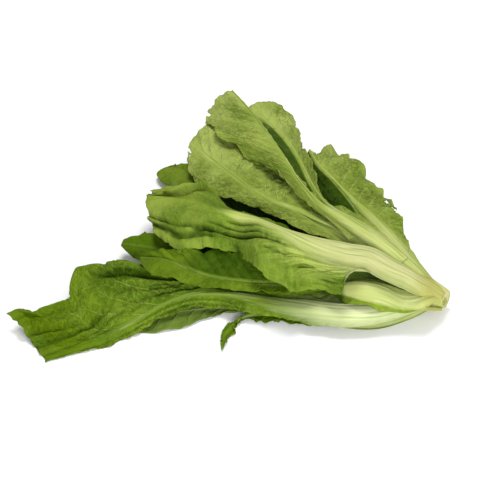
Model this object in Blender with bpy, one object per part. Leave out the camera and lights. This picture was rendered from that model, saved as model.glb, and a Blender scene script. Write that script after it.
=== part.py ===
"""Chinese mustard greens: one picked head lying on its side, its leaves fanned out from the cut crown.

Every leaf is one closed solid: a fleshy half-round stalk that runs on as the midrib, and a thin waved
blade on both sides of it. The leaves are laid one over the other from the table upwards, and each is
lifted where it would touch the leaves below it.

Lengths are in millimetres until the meshes are made. While the head is laid out, +X points from the
leaf tips to the crown, -Y is the near side and the table is at Z = 0.
"""
import math

import bmesh
import bpy
import numpy as np

MM = 0.001

# Crown: the short stump that the leaves grow from, cut off at its thin end.
FACE = np.array([164.0, -80.0, 23.5])
FACE_HALF_WIDTH = 23.0
FACE_HALF_HEIGHT = 24.0
CUT_END = np.array([195.0, -94.0, 15.0])
CUT_RADIUS = 11.0
CROWN_HEADING = 154.0
CROWN_SIDES = 36
CROWN_RINGS = 7
CROWN_SQUARENESS = 2.7
CUT_DEPTH = 1.5

# Leaves: thickness of the blade, and the gap from the crown to the foot of a stalk.
BLADE = 0.8
SEAT_GAP = 0.6
STRAIGHT_FOOT = 14.0
NARROWEST_BLADE = 1.2
SKIRT = 1.3
STALK_COLUMNS = (0, 0.5, 1)
BLADE_COLUMNS = (1 / 3, 2 / 3, 1)
CURVE_STEPS = 401

# The pile: a height map of what lies on the table, read and raised as each leaf comes down.
CLEARANCE = 0.7
CELL = 1.0
PILE_CORNER = (-280.0, -240.0)
PILE_CELLS = (520, 520)
CELL_READINGS = 9
STEEPEST = 0.35
SOFT_LANDING = 3.0
LEVEL_FOOT = 0.1
TABLE_CONTACT = 0.35


def leaf(name, foot, route, stalk, thick, near, far, **more):
    """One leaf's sizes. Each list runs from the foot of the stalk to the tip of the leaf.

    foot: place of the foot on the crown's face, across (+ is near) and height
    route: points that the midrib passes through after it leaves the crown
    stalk, thick: half width and depth of the stalk and midrib
    near, far: width of the leaf from the midrib to its near and far edge
    near_rise, far_rise: degrees that each blade stands up from the stalk, and near_curl, far_curl
    the degrees that it bends further on its way to the edge
    ruffle, waves: height and number of the waves along the edges
    lobes, lobe_depth: number of notches in an edge and the share of the blade that they cut away
    bow: how far the near and the far edge stay behind the tip, as a share of the length
    back_up: True where the leaf shows the side that its midrib stands out of
    """
    sizes = dict(
        near_rise=(0,), near_curl=(0,), far_rise=(0,), far_curl=(0,), waves=3.0, rows=23, back_up=False
    )
    sizes.update(more)
    return dict(name=name, foot=foot, route=route, stalk=stalk, thick=thick, near=near, far=far, **sizes)


# In the order in which they are laid down.
LEAVES = [
    leaf(
        "leaf_under_far", (-8, 4), [(80, 34, 4), (20, 68, 4), (-45, 102, 6), (-93, 113, 6)],
        stalk=[5.2, 8, 7, 4, 2.5, 1.5], thick=[3.2, 6, 5, 3, 2, 1.2],
        near=[6.6, 11, 24, 34, 36, 32, 22], far=[6.6, 11, 24, 32, 30, 22, 14],
        near_rise=[0, 4, 8, 8], near_curl=[10], far_rise=[0, 4, 8, 8], far_curl=[0, 5, 10, 10],
        ruffle=6, lobes=9, lobe_depth=0.22, bow=(0.06, 0.06), seed=1,
    ),
    leaf(
        "leaf_under_near", (6.5, 4),
        [(110, -114, -2), (50, -97, -2), (-10, -93, 0), (-70, -105, 3), (-113, -119, -1)],
        stalk=[5.2, 8, 9, 7, 4, 2], thick=[3.2, 6, 6, 4, 2, 1.2],
        near=[6.6, 10, 10, 10, 12, 12, 8], far=[6.6, 12, 20, 30, 30, 24, 12],
        near_rise=[-4], near_curl=[-10], far_rise=[5],
        ruffle=3, waves=2.5, lobes=8, lobe_depth=0.1, bow=(0.06, 0.06), seed=2, back_up=True,
    ),
    leaf(
        "leaf_torn", (17.6, 5.5),
        [(100, -120, 3), (50, -111, 3), (12, -105, 3), (-10, -111, 3), (-24, -132, 2), (-28, -158, 2)],
        stalk=[2.6, 3, 3, 2, 1.4, 1], thick=[2.6, 3, 3, 2, 1.4, 1.2],
        near=[3.9, 5, 5, 7, 10, 5, 4], far=[3.9, 5, 6, 9, 11, 6, 4],
        near_rise=[-5], near_curl=[-10], far_rise=[5], far_curl=[10],
        ruffle=2, lobes=8, lobe_depth=0.5, bow=(0.05, 0.05), seed=3, back_up=True, rows=19,
    ),
    leaf(
        "leaf_low_mid", (1.5, 14.8),
        [(80, -53, 18), (10, -39, 20), (-50, -29, 20), (-100, -17, 18), (-128, -7, 15)],
        stalk=[5.2, 8, 7, 4, 2.5, 1.5], thick=[3.2, 6, 5, 3, 2, 1.2],
        near=[6.6, 10, 16, 18, 20, 20, 16], far=[6.6, 10, 18, 20, 22, 20, 16],
        near_rise=[-4], far_rise=[15], far_curl=[20],
        ruffle=4, lobes=9, lobe_depth=0.2, bow=(0.06, 0.06), seed=4,
    ),
    leaf(
        "leaf_far_right", (-15, 9.4),
        [(145, -26, 22), (121, 10, 28), (96, 53, 30), (75, 90, 28), (61, 132, 24)],
        stalk=[5.2, 9, 8, 4.5, 2.8, 1.6], thick=[3.2, 7, 6, 4, 2.4, 1.4],
        near=[6.6, 11, 18, 24, 26, 22, 12], far=[6.6, 14, 28, 42, 50, 48, 30],
        near_rise=[0, -12, -40, -42], near_curl=[-10], far_rise=[-6], far_curl=[-12],
        ruffle=4, waves=2.6, lobes=8, lobe_depth=0.14, bow=(0.03, 0.03), seed=5, back_up=True,
    ),
    leaf(
        "leaf_long_near", (13, 9.4),
        [(125, -113, 14), (75, -114, 16), (20, -104, 18), (-21, -92, 20), (-55, -93, 21), (-85, -104, 19),
         (-120, -129, 13), (-155, -149, 6), (-205, -170, 0)],
        stalk=[5.2, 12, 11, 6, 3.4, 2], thick=[3.2, 8, 7, 5, 3, 1.6],
        near=[6.6, 14, 16, 16, 14, 14, 10], far=[6.6, 15, 24, 42, 62, 68, 56],
        near_rise=[0, -30, -45, -45], near_curl=[-30], far_rise=[10], far_curl=[14],
        ruffle=6, waves=3.2, lobes=10, lobe_depth=0.1, bow=(0.02, -0.04), seed=6, rows=27,
    ),
    leaf(
        "leaf_low_back", (4.5, 20.2), [(80, -48, 30), (10, -27, 34), (-45, -11, 30), (-98, 9, 24)],
        stalk=[5.2, 8, 7, 4, 2.5, 1.5], thick=[3.2, 6, 5, 3, 2, 1.2],
        near=[6.6, 10, 16, 20, 22, 20, 12], far=[6.6, 10, 18, 24, 26, 22, 14],
        near_rise=[-25], near_curl=[-15], far_rise=[8], far_curl=[5],
        ruffle=4, lobes=9, lobe_depth=0.15, bow=(0.06, 0.06), seed=7,
    ),
    leaf(
        "leaf_upper_right", (-12.5, 14.8),
        [(135, -28, 33), (100, 12, 36), (65, 40, 38), (42, 92, 36), (22, 152, 32), (16, 198, 27)],
        stalk=[5.2, 8, 7, 4, 2.6, 1.5], thick=[3.2, 7, 6, 4, 2.4, 1.4],
        near=[6.6, 10, 14, 18, 22, 24, 16], far=[6.6, 10, 14, 18, 26, 32, 26],
        near_rise=[-10], far_rise=[-12], far_curl=[-10],
        ruffle=4, waves=2.6, lobes=8, lobe_depth=0.1, bow=(0.04, 0.04), seed=8, back_up=True,
    ),
    leaf(
        "leaf_upper_left", (-9, 20.2),
        [(125, -37, 40), (90, -8, 42), (50, 10, 41), (12, 34, 38), (-28, 89, 32), (-60, 141, 24)],
        stalk=[5.2, 8, 7, 4, 2.6, 1.5], thick=[3.2, 7, 6, 4, 2.4, 1.4],
        near=[6.6, 10, 16, 26, 36, 38, 28], far=[6.6, 10, 16, 30, 40, 46, 42],
        near_rise=[-8], near_curl=[-10], far_rise=[-4],
        ruffle=5, waves=2.6, lobes=9, lobe_depth=0.12, bow=(0.04, 0.04), seed=9, back_up=True,
    ),
    leaf(
        "leaf_upper_mid", (-7.5, 25.6),
        [(130, -42, 48), (95, -14, 52), (65, 13, 54), (42, 68, 50), (18, 134, 42), (0, 180, 34),
         (-17, 218, 26)],
        stalk=[5.2, 8, 7, 4, 2.6, 1.5], thick=[3.2, 7, 6, 4, 2.4, 1.4],
        near=[6.6, 10, 12, 20, 40, 58, 44], far=[6.6, 10, 10, 10, 12, 12, 10],
        near_rise=[-8], near_curl=[-6], far_rise=[0, -30, -65, -65], far_curl=[-15],
        ruffle=5, lobes=9, lobe_depth=0.12, bow=(0.04, 0.04), seed=10, back_up=True,
    ),
    leaf(
        "leaf_scoop", (15.5, 14.8),
        [(100, -99, 28), (50, -96, 31), (-5, -85, 31), (-52, -71, 31), (-88, -54, 30), (-120, -45, 27)],
        stalk=[5.2, 8, 8, 5, 3, 1.6], thick=[3.2, 6, 5, 3, 2, 1.2],
        near=[6.6, 11, 10, 8, 10, 15, 14], far=[6.6, 11, 22, 36, 34, 24, 16],
        near_rise=[-6], near_curl=[-14], far_rise=[0, 30, 44, 44], far_curl=[10],
        ruffle=5, lobes=9, lobe_depth=0.16, bow=(0.05, 0.05), seed=11,
    ),
    leaf(
        "leaf_heart", (7.5, 25.6),
        [(135, -102, 33), (115, -102, 37), (95, -100, 38), (60, -90, 38), (35, -83, 36)],
        stalk=[7, 11, 13, 10, 5], thick=[4, 10, 11, 8, 3],
        near=[8.4, 13, 15, 14, 8], far=[8.4, 13, 15, 13, 8],
        near_rise=[-10], near_curl=[-10], far_rise=[-10],
        ruffle=2, waves=2, lobes=5, lobe_depth=0.1, bow=(0.06, 0.06), seed=12, back_up=True, rows=15,
    ),
    leaf(
        "leaf_centre", (1, 31),
        [(138, -83, 54), (115, -74, 58), (85, -71, 61), (40, -53, 60), (0, -24, 58), (-30, -4, 52),
         (-65, 18, 44), (-103, 43, 32)],
        stalk=[9, 15, 15, 9, 5, 3, 1.6], thick=[4.6, 10, 9, 7, 4, 2, 1.2],
        near=[10.4, 17, 46, 58, 36, 38, 48, 38], far=[10.4, 16.4, 17, 15, 18, 30, 34, 28],
        near_rise=[0, -24, -34, -30, -22], near_curl=[-20], far_rise=[0, -25, -10, 15], far_curl=[-10],
        ruffle=5, waves=3.4, lobes=10, lobe_depth=0.2, bow=(0.04, 0.04), seed=13, back_up=True, rows=27,
    ),
]

PALE_BACK = (0.30, 0.38, 0.12)
GREEN_FACE = (0.15, 0.22, 0.03)
CROWN_GREEN = (0.52, 0.55, 0.22)
LEAF_ROUGHNESS = 0.55
CROWN_ROUGHNESS = 0.45


def unit(vectors):
    return vectors / np.maximum(np.linalg.norm(vectors, axis=-1, keepdims=True), 1e-9)


def ease(t):
    """0 to 1 with a level start and end."""
    t = np.clip(t, 0, 1)
    return t * t * (3 - 2 * t)


def smooth(at, values, where):
    """Smooth curve through values set at the places at, read at where."""
    slope = np.gradient(values, at)
    i = np.clip(np.searchsorted(at, where, side="right") - 1, 0, len(at) - 2)
    step = at[i + 1] - at[i]
    f = (where - at[i]) / step
    return (
        values[i] * (2 * f**3 - 3 * f**2 + 1)
        + slope[i] * step * (f**3 - 2 * f**2 + f)
        + values[i + 1] * (3 * f**2 - 2 * f**3)
        + slope[i + 1] * step * (f**3 - f**2)
    )


def along(values, s):
    """Reads a list that is spread evenly from the foot, s = 0, to the tip, s = 1."""
    values = np.asarray(values, float)
    s = np.clip(np.asarray(s, float), 0, 1)
    if len(values) == 1:
        return np.full(s.shape, values[0])
    return smooth(np.linspace(0, 1, len(values)), values, s)


def crown_axes():
    """Unit vectors out of the crown's face and across it, to the near side."""
    turn = math.radians(CROWN_HEADING)
    ahead = np.array([math.cos(turn), math.sin(turn), 0])
    across = np.array([-math.sin(turn), math.cos(turn), 0])
    return ahead, across


def midrib(sizes, s):
    """Points of the midrib at s. Past s = 1 it runs straight on, for edges that reach past the tip."""
    ahead, across = crown_axes()
    side, height = sizes["foot"]
    seat = FACE * (1, 1, 0) + side * across + SEAT_GAP * ahead + (0, 0, height)
    knots = np.array([seat, seat + STRAIGHT_FOOT * ahead, *sizes["route"]], float)
    knots = np.vstack([knots, 2 * knots[-1] - knots[-2]])
    at = np.concatenate([[0], np.cumsum(np.linalg.norm(np.diff(knots, axis=0), axis=1) ** 0.5)])
    fine = np.linspace(0, at[-1], CURVE_STEPS)
    curve = np.stack([smooth(at, knots[:, k], fine) for k in range(3)], axis=-1)
    walked = np.concatenate([[0], np.cumsum(np.linalg.norm(np.diff(curve, axis=0), axis=1))])
    walked = walked / np.interp(at[-2], fine, walked)
    return np.stack([np.interp(s, walked, curve[:, k]) for k in range(3)], axis=-1)


def columns(sizes, s, phase):
    """Distance of each grid column from the midrib along each row: far side below 0, near side above."""
    stalk = along(sizes["stalk"], s)
    sides = []
    for side, shift in (("far", phase[1]), ("near", phase[0])):
        width = np.maximum(along(sizes[side], s), stalk + SKIRT)
        lobe = np.abs(np.sin(math.pi * sizes["lobes"] * s + shift)) ** 0.6
        cut = sizes["lobe_depth"] * np.clip((s - 0.12) / 0.2, 0, 1) * (1 - lobe)
        blade = np.maximum((width - stalk) * (1 - cut), NARROWEST_BLADE)
        inner = stalk[:, None] * np.array(STALK_COLUMNS)
        outer = stalk[:, None] + blade[:, None] * np.array(BLADE_COLUMNS)
        sides.append(np.concatenate([inner, outer], axis=1))
    far, near = sides
    return np.concatenate([-far[:, :0:-1], near], axis=1), stalk


def leaf_surface(sizes):
    """Middle surface of a leaf as a grid of points, with the flesh above and below each point."""
    s = np.linspace(0, 1, sizes["rows"])
    phase = np.random.default_rng(sizes["seed"]).uniform(0, 2 * math.pi, 6)
    reach, stalk = columns(sizes, s, phase)
    widest = np.maximum(np.abs(reach[:, :1]), np.abs(reach[:, -1:]))
    bow = np.where(reach > 0, *sizes["bow"]) * s[:, None] ** 3
    place = np.clip(s[:, None] - bow * (reach / widest) ** 2, 0, 1.2)
    points = midrib(sizes, place)
    ahead = unit(midrib(sizes, place + 0.01) - midrib(sizes, np.maximum(place - 0.01, 0)))
    near = unit(np.cross(np.broadcast_to([0.0, 0.0, 1.0], ahead.shape), ahead))
    above = np.cross(ahead, near)
    middle = reach.shape[1] // 2
    for sign, side in ((1, "near"), (-1, "far")):
        edge = np.abs(reach[:, middle + sign * middle])
        out = np.zeros(len(s))
        up = np.zeros(len(s))
        for k in range(1, middle + 1):
            j = middle + sign * k
            before = np.abs(reach[:, j - sign])
            step = np.abs(reach[:, j]) - before
            half = before + step / 2
            off_stalk = ease(half / stalk)
            over_blade = np.clip((half - stalk) / np.maximum(edge - stalk, 0.1), 0, 1)
            angle = along(sizes[side + "_rise"], s) * off_stalk + along(sizes[side + "_curl"], s) * over_blade
            angle = np.radians(angle) * ease(s / 0.16)
            out = out + step * np.cos(angle)
            up = up + step * np.sin(angle)
            points[:, j] += sign * near[:, j] * out[:, None] + above[:, j] * up[:, None]
    points = points + normals(points) * ruffle(sizes, reach, stalk, widest, place, phase)[..., None]
    face_out, _ = crown_axes()
    points[0] -= ((points[0] - points[0, middle]) @ face_out)[:, None] * face_out
    inside = np.clip(np.abs(reach) / stalk[:, None], 0, 1)
    flesh = np.sqrt(1 - inside**2) * np.maximum(along(sizes["thick"], s) - BLADE, 0)[:, None]
    thin = np.full_like(flesh, BLADE / 2)
    if sizes["back_up"]:
        return points, thin + flesh, thin
    return points, thin, thin + flesh


def ruffle(sizes, reach, stalk, widest, place, phase):
    """Waves that grow from the midrib to the edges."""
    share = np.clip((np.abs(reach) - stalk[:, None]) / np.maximum(widest - stalk[:, None], 1), 0, 1)
    side = np.sign(reach)
    turns = 2 * math.pi * sizes["waves"] * place
    wave = np.sin(turns + phase[2] + side * phase[3]) + 0.5 * np.sin(1.7 * turns + phase[4] + side * phase[5])
    s = np.linspace(0, 1, len(reach))[:, None]
    return sizes["ruffle"] * share**1.3 * np.clip((s - 0.15) / 0.25, 0, 1) * wave


def normals(points):
    """Unit normals of a grid of points, up where the leaf lies flat."""
    return unit(np.cross(np.gradient(points, axis=0), np.gradient(points, axis=1)))


def readings(grid):
    """Every cell of a grid read at evenly spaced places across it."""
    t = np.linspace(0, 1, CELL_READINGS)
    a, b = (w.ravel() for w in np.meshgrid(t, t, indexing="ij"))
    if grid.ndim == 3:
        a, b = a[:, None], b[:, None]
    grid = np.expand_dims(grid, 2)
    return (
        grid[:-1, :-1] * (1 - a) * (1 - b)
        + grid[1:, :-1] * a * (1 - b)
        + grid[:-1, 1:] * (1 - a) * b
        + grid[1:, 1:] * a * b
    )


def pile_cells(points):
    i = ((points[..., 0] - PILE_CORNER[0]) / CELL).astype(int)
    j = ((points[..., 1] - PILE_CORNER[1]) / CELL).astype(int)
    return np.clip(i, 1, PILE_CELLS[0] - 2), np.clip(j, 1, PILE_CELLS[1] - 2)


def neighbours(field, pick):
    """Takes the pick, such as the largest value, over each point and its neighbours in the grid."""
    for axis in (0, 1):
        rim = [(1, 1) if k == axis else (0, 0) for k in (0, 1)]
        wide = np.pad(field, rim, mode="edge")
        size = field.shape[axis]
        field = pick([np.take(wide, range(k, k + size), axis) for k in range(3)], axis=0)
    return field


def lay_down(points, above, below, pile):
    """Raises the leaf where it would touch the pile or the table, then adds it to the pile."""
    steep = np.clip(np.abs(normals(points)[..., 2]), STEEPEST, 1)
    under = pile[pile_cells(readings(points))]
    short = np.where(under > 0, under + CLEARANCE - readings(points[..., 2] - below / steep), 0)
    need = np.maximum(short.max(axis=2), 0)
    lift = np.zeros(points.shape[:2])
    for rows in (slice(None, -1), slice(1, None)):
        for cols in (slice(None, -1), slice(1, None)):
            lift[rows, cols] = np.maximum(lift[rows, cols], need)
    foot_lift = lift[0].max()
    lift = neighbours(neighbours(lift, np.max), np.mean)
    free = np.clip(np.linspace(0, 1, len(lift))[:, None] / LEVEL_FOOT, 0, 1)
    lift = free * lift + (1 - free) * foot_lift
    points = points.copy()
    table = below / steep
    gap = points[..., 2] + lift - table
    landing = np.clip(gap + SOFT_LANDING, 0, None) ** 2 / (4 * SOFT_LANDING)
    points[..., 2] = table + np.where(gap > SOFT_LANDING, gap, landing)
    top = readings(points[..., 2] + above / steep)
    i, j = pile_cells(readings(points))
    for di in (-1, 0, 1):
        for dj in (-1, 0, 1):
            np.maximum.at(pile, (i + di, j + dj), top)
    return points


def skins(points, above, below):
    """Upper and lower skin of a leaf. The foot stays square to the crown and contacts lie flat."""
    ahead, _ = crown_axes()
    out = normals(points)
    out[0] -= (out[0] @ ahead)[:, None] * ahead
    upper = points + out * above[..., None]
    lower = points - out * below[..., None]
    lower[..., 2] = np.where(lower[..., 2] < TABLE_CONTACT, 0, lower[..., 2])
    return upper, lower


def leaf_mesh(name, upper, lower):
    """Closes two skins into one solid, with the same diagonals on both."""
    rows, cols = upper.shape[:2]
    bm = bmesh.new()
    top = [[bm.verts.new(p * MM) for p in row] for row in upper]
    bottom = [[bm.verts.new(p * MM) for p in row] for row in lower]
    for i in range(rows - 1):
        for j in range(cols - 1):
            for corners in (((i, j), (i + 1, j), (i + 1, j + 1)), ((i, j), (i + 1, j + 1), (i, j + 1))):
                bm.faces.new([top[r][c] for r, c in corners])
                bm.faces.new([bottom[r][c] for r, c in reversed(corners)])
    rim = [(i, 0) for i in range(rows)] + [(rows - 1, j) for j in range(1, cols)]
    rim += [(i, cols - 1) for i in range(rows - 2, -1, -1)] + [(0, j) for j in range(cols - 2, 0, -1)]
    for (r, c), (next_r, next_c) in zip(rim, rim[1:] + rim[:1]):
        bm.faces.new([top[r][c], bottom[r][c], bottom[next_r][next_c]])
        bm.faces.new([top[r][c], bottom[next_r][next_c], top[next_r][next_c]])
    return finished_mesh(bm, name)


def crown_mesh(name):
    """Stump between the square face that the stalks stand on and the small cut end."""
    ahead, across = crown_axes()
    turns = [2 * math.pi * k / CROWN_SIDES for k in range(CROWN_SIDES)]
    bm = bmesh.new()
    rings = []
    for k in range(CROWN_RINGS):
        t = k / (CROWN_RINGS - 1)
        swell = math.sin(math.pi / 2 * t)
        centre = CUT_END + (FACE - CUT_END) * t
        half_width = CUT_RADIUS + (FACE_HALF_WIDTH - CUT_RADIUS) * swell
        half_height = CUT_RADIUS + (FACE_HALF_HEIGHT - CUT_RADIUS) * swell
        squareness = 2 + (CROWN_SQUARENESS - 2) * t
        ring = []
        for a in turns:
            c, s = math.cos(a), math.sin(a)
            size = (abs(c) ** squareness + abs(s) ** squareness) ** (-1 / squareness)
            point = centre + across * half_width * size * c
            height = max(point[2] + half_height * size * s, 0)
            ring.append(bm.verts.new((point[0] * MM, point[1] * MM, height * MM)))
        rings.append(ring)
    for ring, wider in zip(rings, rings[1:]):
        for k in range(CROWN_SIDES):
            n = (k + 1) % CROWN_SIDES
            bm.faces.new([ring[k], wider[k], wider[n], ring[n]])
    hollow = bm.verts.new((CUT_END + ahead * CUT_DEPTH) * MM)
    for k in range(CROWN_SIDES):
        bm.faces.new([hollow, rings[0][k], rings[0][(k + 1) % CROWN_SIDES]])
    bm.faces.new(rings[-1][::-1])
    bmesh.ops.remove_doubles(bm, verts=bm.verts, dist=1e-6)
    return finished_mesh(bm, name)


def finished_mesh(bm, name):
    bmesh.ops.recalc_face_normals(bm, faces=bm.faces)
    mesh = bpy.data.meshes.new(name)
    bm.to_mesh(mesh)
    bm.free()
    mesh.shade_smooth()
    return mesh


def finish_of(name, colour, roughness):
    material = bpy.data.materials.new(name)
    material.use_nodes = True
    shader = material.node_tree.nodes["Principled BSDF"]
    shader.inputs["Base Color"].default_value = (*colour, 1)
    shader.inputs["Roughness"].default_value = roughness
    shader.inputs["Metallic"].default_value = 0
    return material


def place(name, mesh, colour, roughness):
    mesh.materials.append(finish_of(name, colour, roughness))
    piece = bpy.data.objects.new(name, mesh)
    bpy.context.scene.collection.objects.link(piece)
    return piece


def centre_on_table(pieces):
    """Moves the head so that the origin is below the middle of it, on the table."""
    corners = np.array([v.co for piece in pieces for v in piece.data.vertices])
    low, high = corners.min(axis=0), corners.max(axis=0)
    for piece in pieces:
        piece.location = (-(low[0] + high[0]) / 2, -(low[1] + high[1]) / 2, -low[2])


def main():
    for old in list(bpy.data.objects):
        bpy.data.objects.remove(old)
    pieces = [place("crown", crown_mesh("crown"), CROWN_GREEN, CROWN_ROUGHNESS)]
    pile = np.zeros(PILE_CELLS)
    for sizes in LEAVES:
        points, above, below = leaf_surface(sizes)
        points = lay_down(points, above, below, pile)
        mesh = leaf_mesh(sizes["name"], *skins(points, above, below))
        colour = PALE_BACK if sizes["back_up"] else GREEN_FACE
        pieces.append(place(sizes["name"], mesh, colour, LEAF_ROUGHNESS))
    centre_on_table(pieces)


main()
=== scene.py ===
"""Looks of the Chinese mustard greens: a picked head on its side, its leaves fanned out from the cut crown.

Each leaf is laid out with the same sizes as the solid that it stands for, on a much finer grid, and is
then given its ribs, side veins, puckers, frills and toothed edge. Lengths are in millimetres until the
meshes are made. While the head is laid out, +X points from the leaf tips to the crown, -Y is the near
side and the floor is at Z = 0.
"""

import math
from types import SimpleNamespace

import bpy
import numpy as np
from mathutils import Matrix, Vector


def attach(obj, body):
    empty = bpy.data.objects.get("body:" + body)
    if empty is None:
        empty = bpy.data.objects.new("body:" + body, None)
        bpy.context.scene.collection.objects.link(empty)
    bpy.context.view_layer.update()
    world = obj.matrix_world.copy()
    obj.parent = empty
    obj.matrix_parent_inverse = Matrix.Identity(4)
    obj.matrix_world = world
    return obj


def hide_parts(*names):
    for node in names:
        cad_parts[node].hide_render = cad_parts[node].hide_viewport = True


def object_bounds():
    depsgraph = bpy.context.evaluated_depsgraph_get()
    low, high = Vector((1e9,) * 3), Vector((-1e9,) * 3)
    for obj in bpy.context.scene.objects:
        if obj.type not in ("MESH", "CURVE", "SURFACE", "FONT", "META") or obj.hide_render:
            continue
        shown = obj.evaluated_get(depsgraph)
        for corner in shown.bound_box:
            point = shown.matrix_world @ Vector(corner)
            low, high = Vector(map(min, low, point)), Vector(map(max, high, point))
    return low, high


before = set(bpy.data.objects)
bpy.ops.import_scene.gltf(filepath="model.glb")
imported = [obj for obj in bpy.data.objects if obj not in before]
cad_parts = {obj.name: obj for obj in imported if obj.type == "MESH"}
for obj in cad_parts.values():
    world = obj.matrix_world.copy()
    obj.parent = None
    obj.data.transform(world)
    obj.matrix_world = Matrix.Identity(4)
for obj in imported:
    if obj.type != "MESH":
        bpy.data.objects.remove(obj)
SOLID_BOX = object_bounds()

MM = 0.001
UP = np.array([0.0, 0.0, 1.0])

# Crown: the short stump that the stalks stand on, cut off at its thin end.
FACE = np.array([164.0, -80.0, 23.5])
FACE_HALF_WIDTH = 23.0
FACE_HALF_HEIGHT = 24.0
CUT_END = np.array([195.0, -94.0, 15.0])
CUT_RADIUS = 11.0
CROWN_LENGTH = np.linalg.norm(FACE - CUT_END)
CROWN_HEADING = 154.0
CROWN_SIDES = 96
CROWN_RINGS = 44
END_RINGS = 7
END_HOLLOW = 1.5
INTO_STALKS = 5
SLIMMER = 1.5
SLIMMER_AT_FACE = 8

# Leaves, as in the solids.
BLADE = 0.8
SEAT_GAP = 0.6
STRAIGHT_FOOT = 14.0
NARROWEST_BLADE = 1.2
SKIRT = 1.3
SOLID_STALK_SHARES = (0, 0.5, 1)
SOLID_BLADE_SHARES = (1 / 3, 2 / 3, 1)
CURVE_STEPS = 401
FURTHEST = 1.2
ON_EITHER_SIDE = 0.01

# Stretches of a leaf over which something grows: where each starts and its length, as shares of the leaf.
FOOT_END = 0.16
LOBES_GROW = (0.12, 0.2)
WAVES_GROW = (0.15, 0.25)
VEINS_GROW = (0.1, 0.15)
STALK_SLIMS = (0.2, 0.4)
STALK_THINS = (0.3, 0.35)
TIP_ROUNDS = (0.8, 0.2)

# The pile: a height map of what lies on the floor, read and raised as each leaf comes down.
CLEARANCE = 0.7
CELL = 1.0
PILE_CORNER = (-280.0, -240.0)
PILE_CELLS = (520, 520)
CELL_READINGS = 9
STEEPEST = 0.35
SOFT_LANDING = 3.0
LEVEL_FOOT = 0.1

# The fine grid, and the mark for the stretch of a stalk that runs over the crown.
BACK_ON_CROWN = -0.1
CROWN_ROWS = 16
CROWN_KNOTS = (0.55, 0.0)
ARCH_LENGTH = 70.0
ARCH_START = 1.9
EVEN_RUN = 12.0
ROW_STEP = 1.6
COLUMN_STEP = 1.25
FEWEST_COLUMNS = 10
MOST_COLUMNS = 56
STALK_STEPS = 14
FINE_BLADE = 0.7
LOWEST_TOP = 0.15

# Edges of the fine leaves: lengths of the teeth, of the bites between them and of their random drift.
TOOTH = 9.5
TOOTH_DRIFT = 14
TOOTH_GROUP = 23
BITE = 15
BITE_DEPTH = 1.6
NOTCH = 9
SMALL_NOTCH = 4

# Relief of the blade: heights, and lengths of its random forms along and across the leaf.
EDGE_LEAD = 0.06
FOLD_END = 0.06
STEEP_SIDE = 0.3
VEIN_DRIFT = (38, 30)
PUCKERS = (7.5, 6.5)
SMALL_PUCKERS = (4.2, 3.9)
FRILL = 11
FRILL_DRIFT = 16
SWAY = (42, 34)
SWAY_HEIGHT = 1.6

# Ridges along the stalk.
RIDGE_GAP = 4.6
SMALL_RIDGE_GAP = 0.47 * RIDGE_GAP
RIDGE_DRIFT = (30, 6)
RIDGE_HEIGHT = 0.55
JOINT_WIDTH = 0.9
CHANNEL_DEPTH = 0.22
DEEPEST_CHANNEL = 1.2

# How the layout is seen in the picture: 1 mm for 1 pixel, from this place for its middle.
PICTURE_MIDDLE = 250.0
CAMERA_ELEVATION = math.radians(40)
SEEN_DEPTH = math.sin(CAMERA_ELEVATION)
SEEN_HEIGHT = math.cos(CAMERA_ELEVATION)


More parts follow.
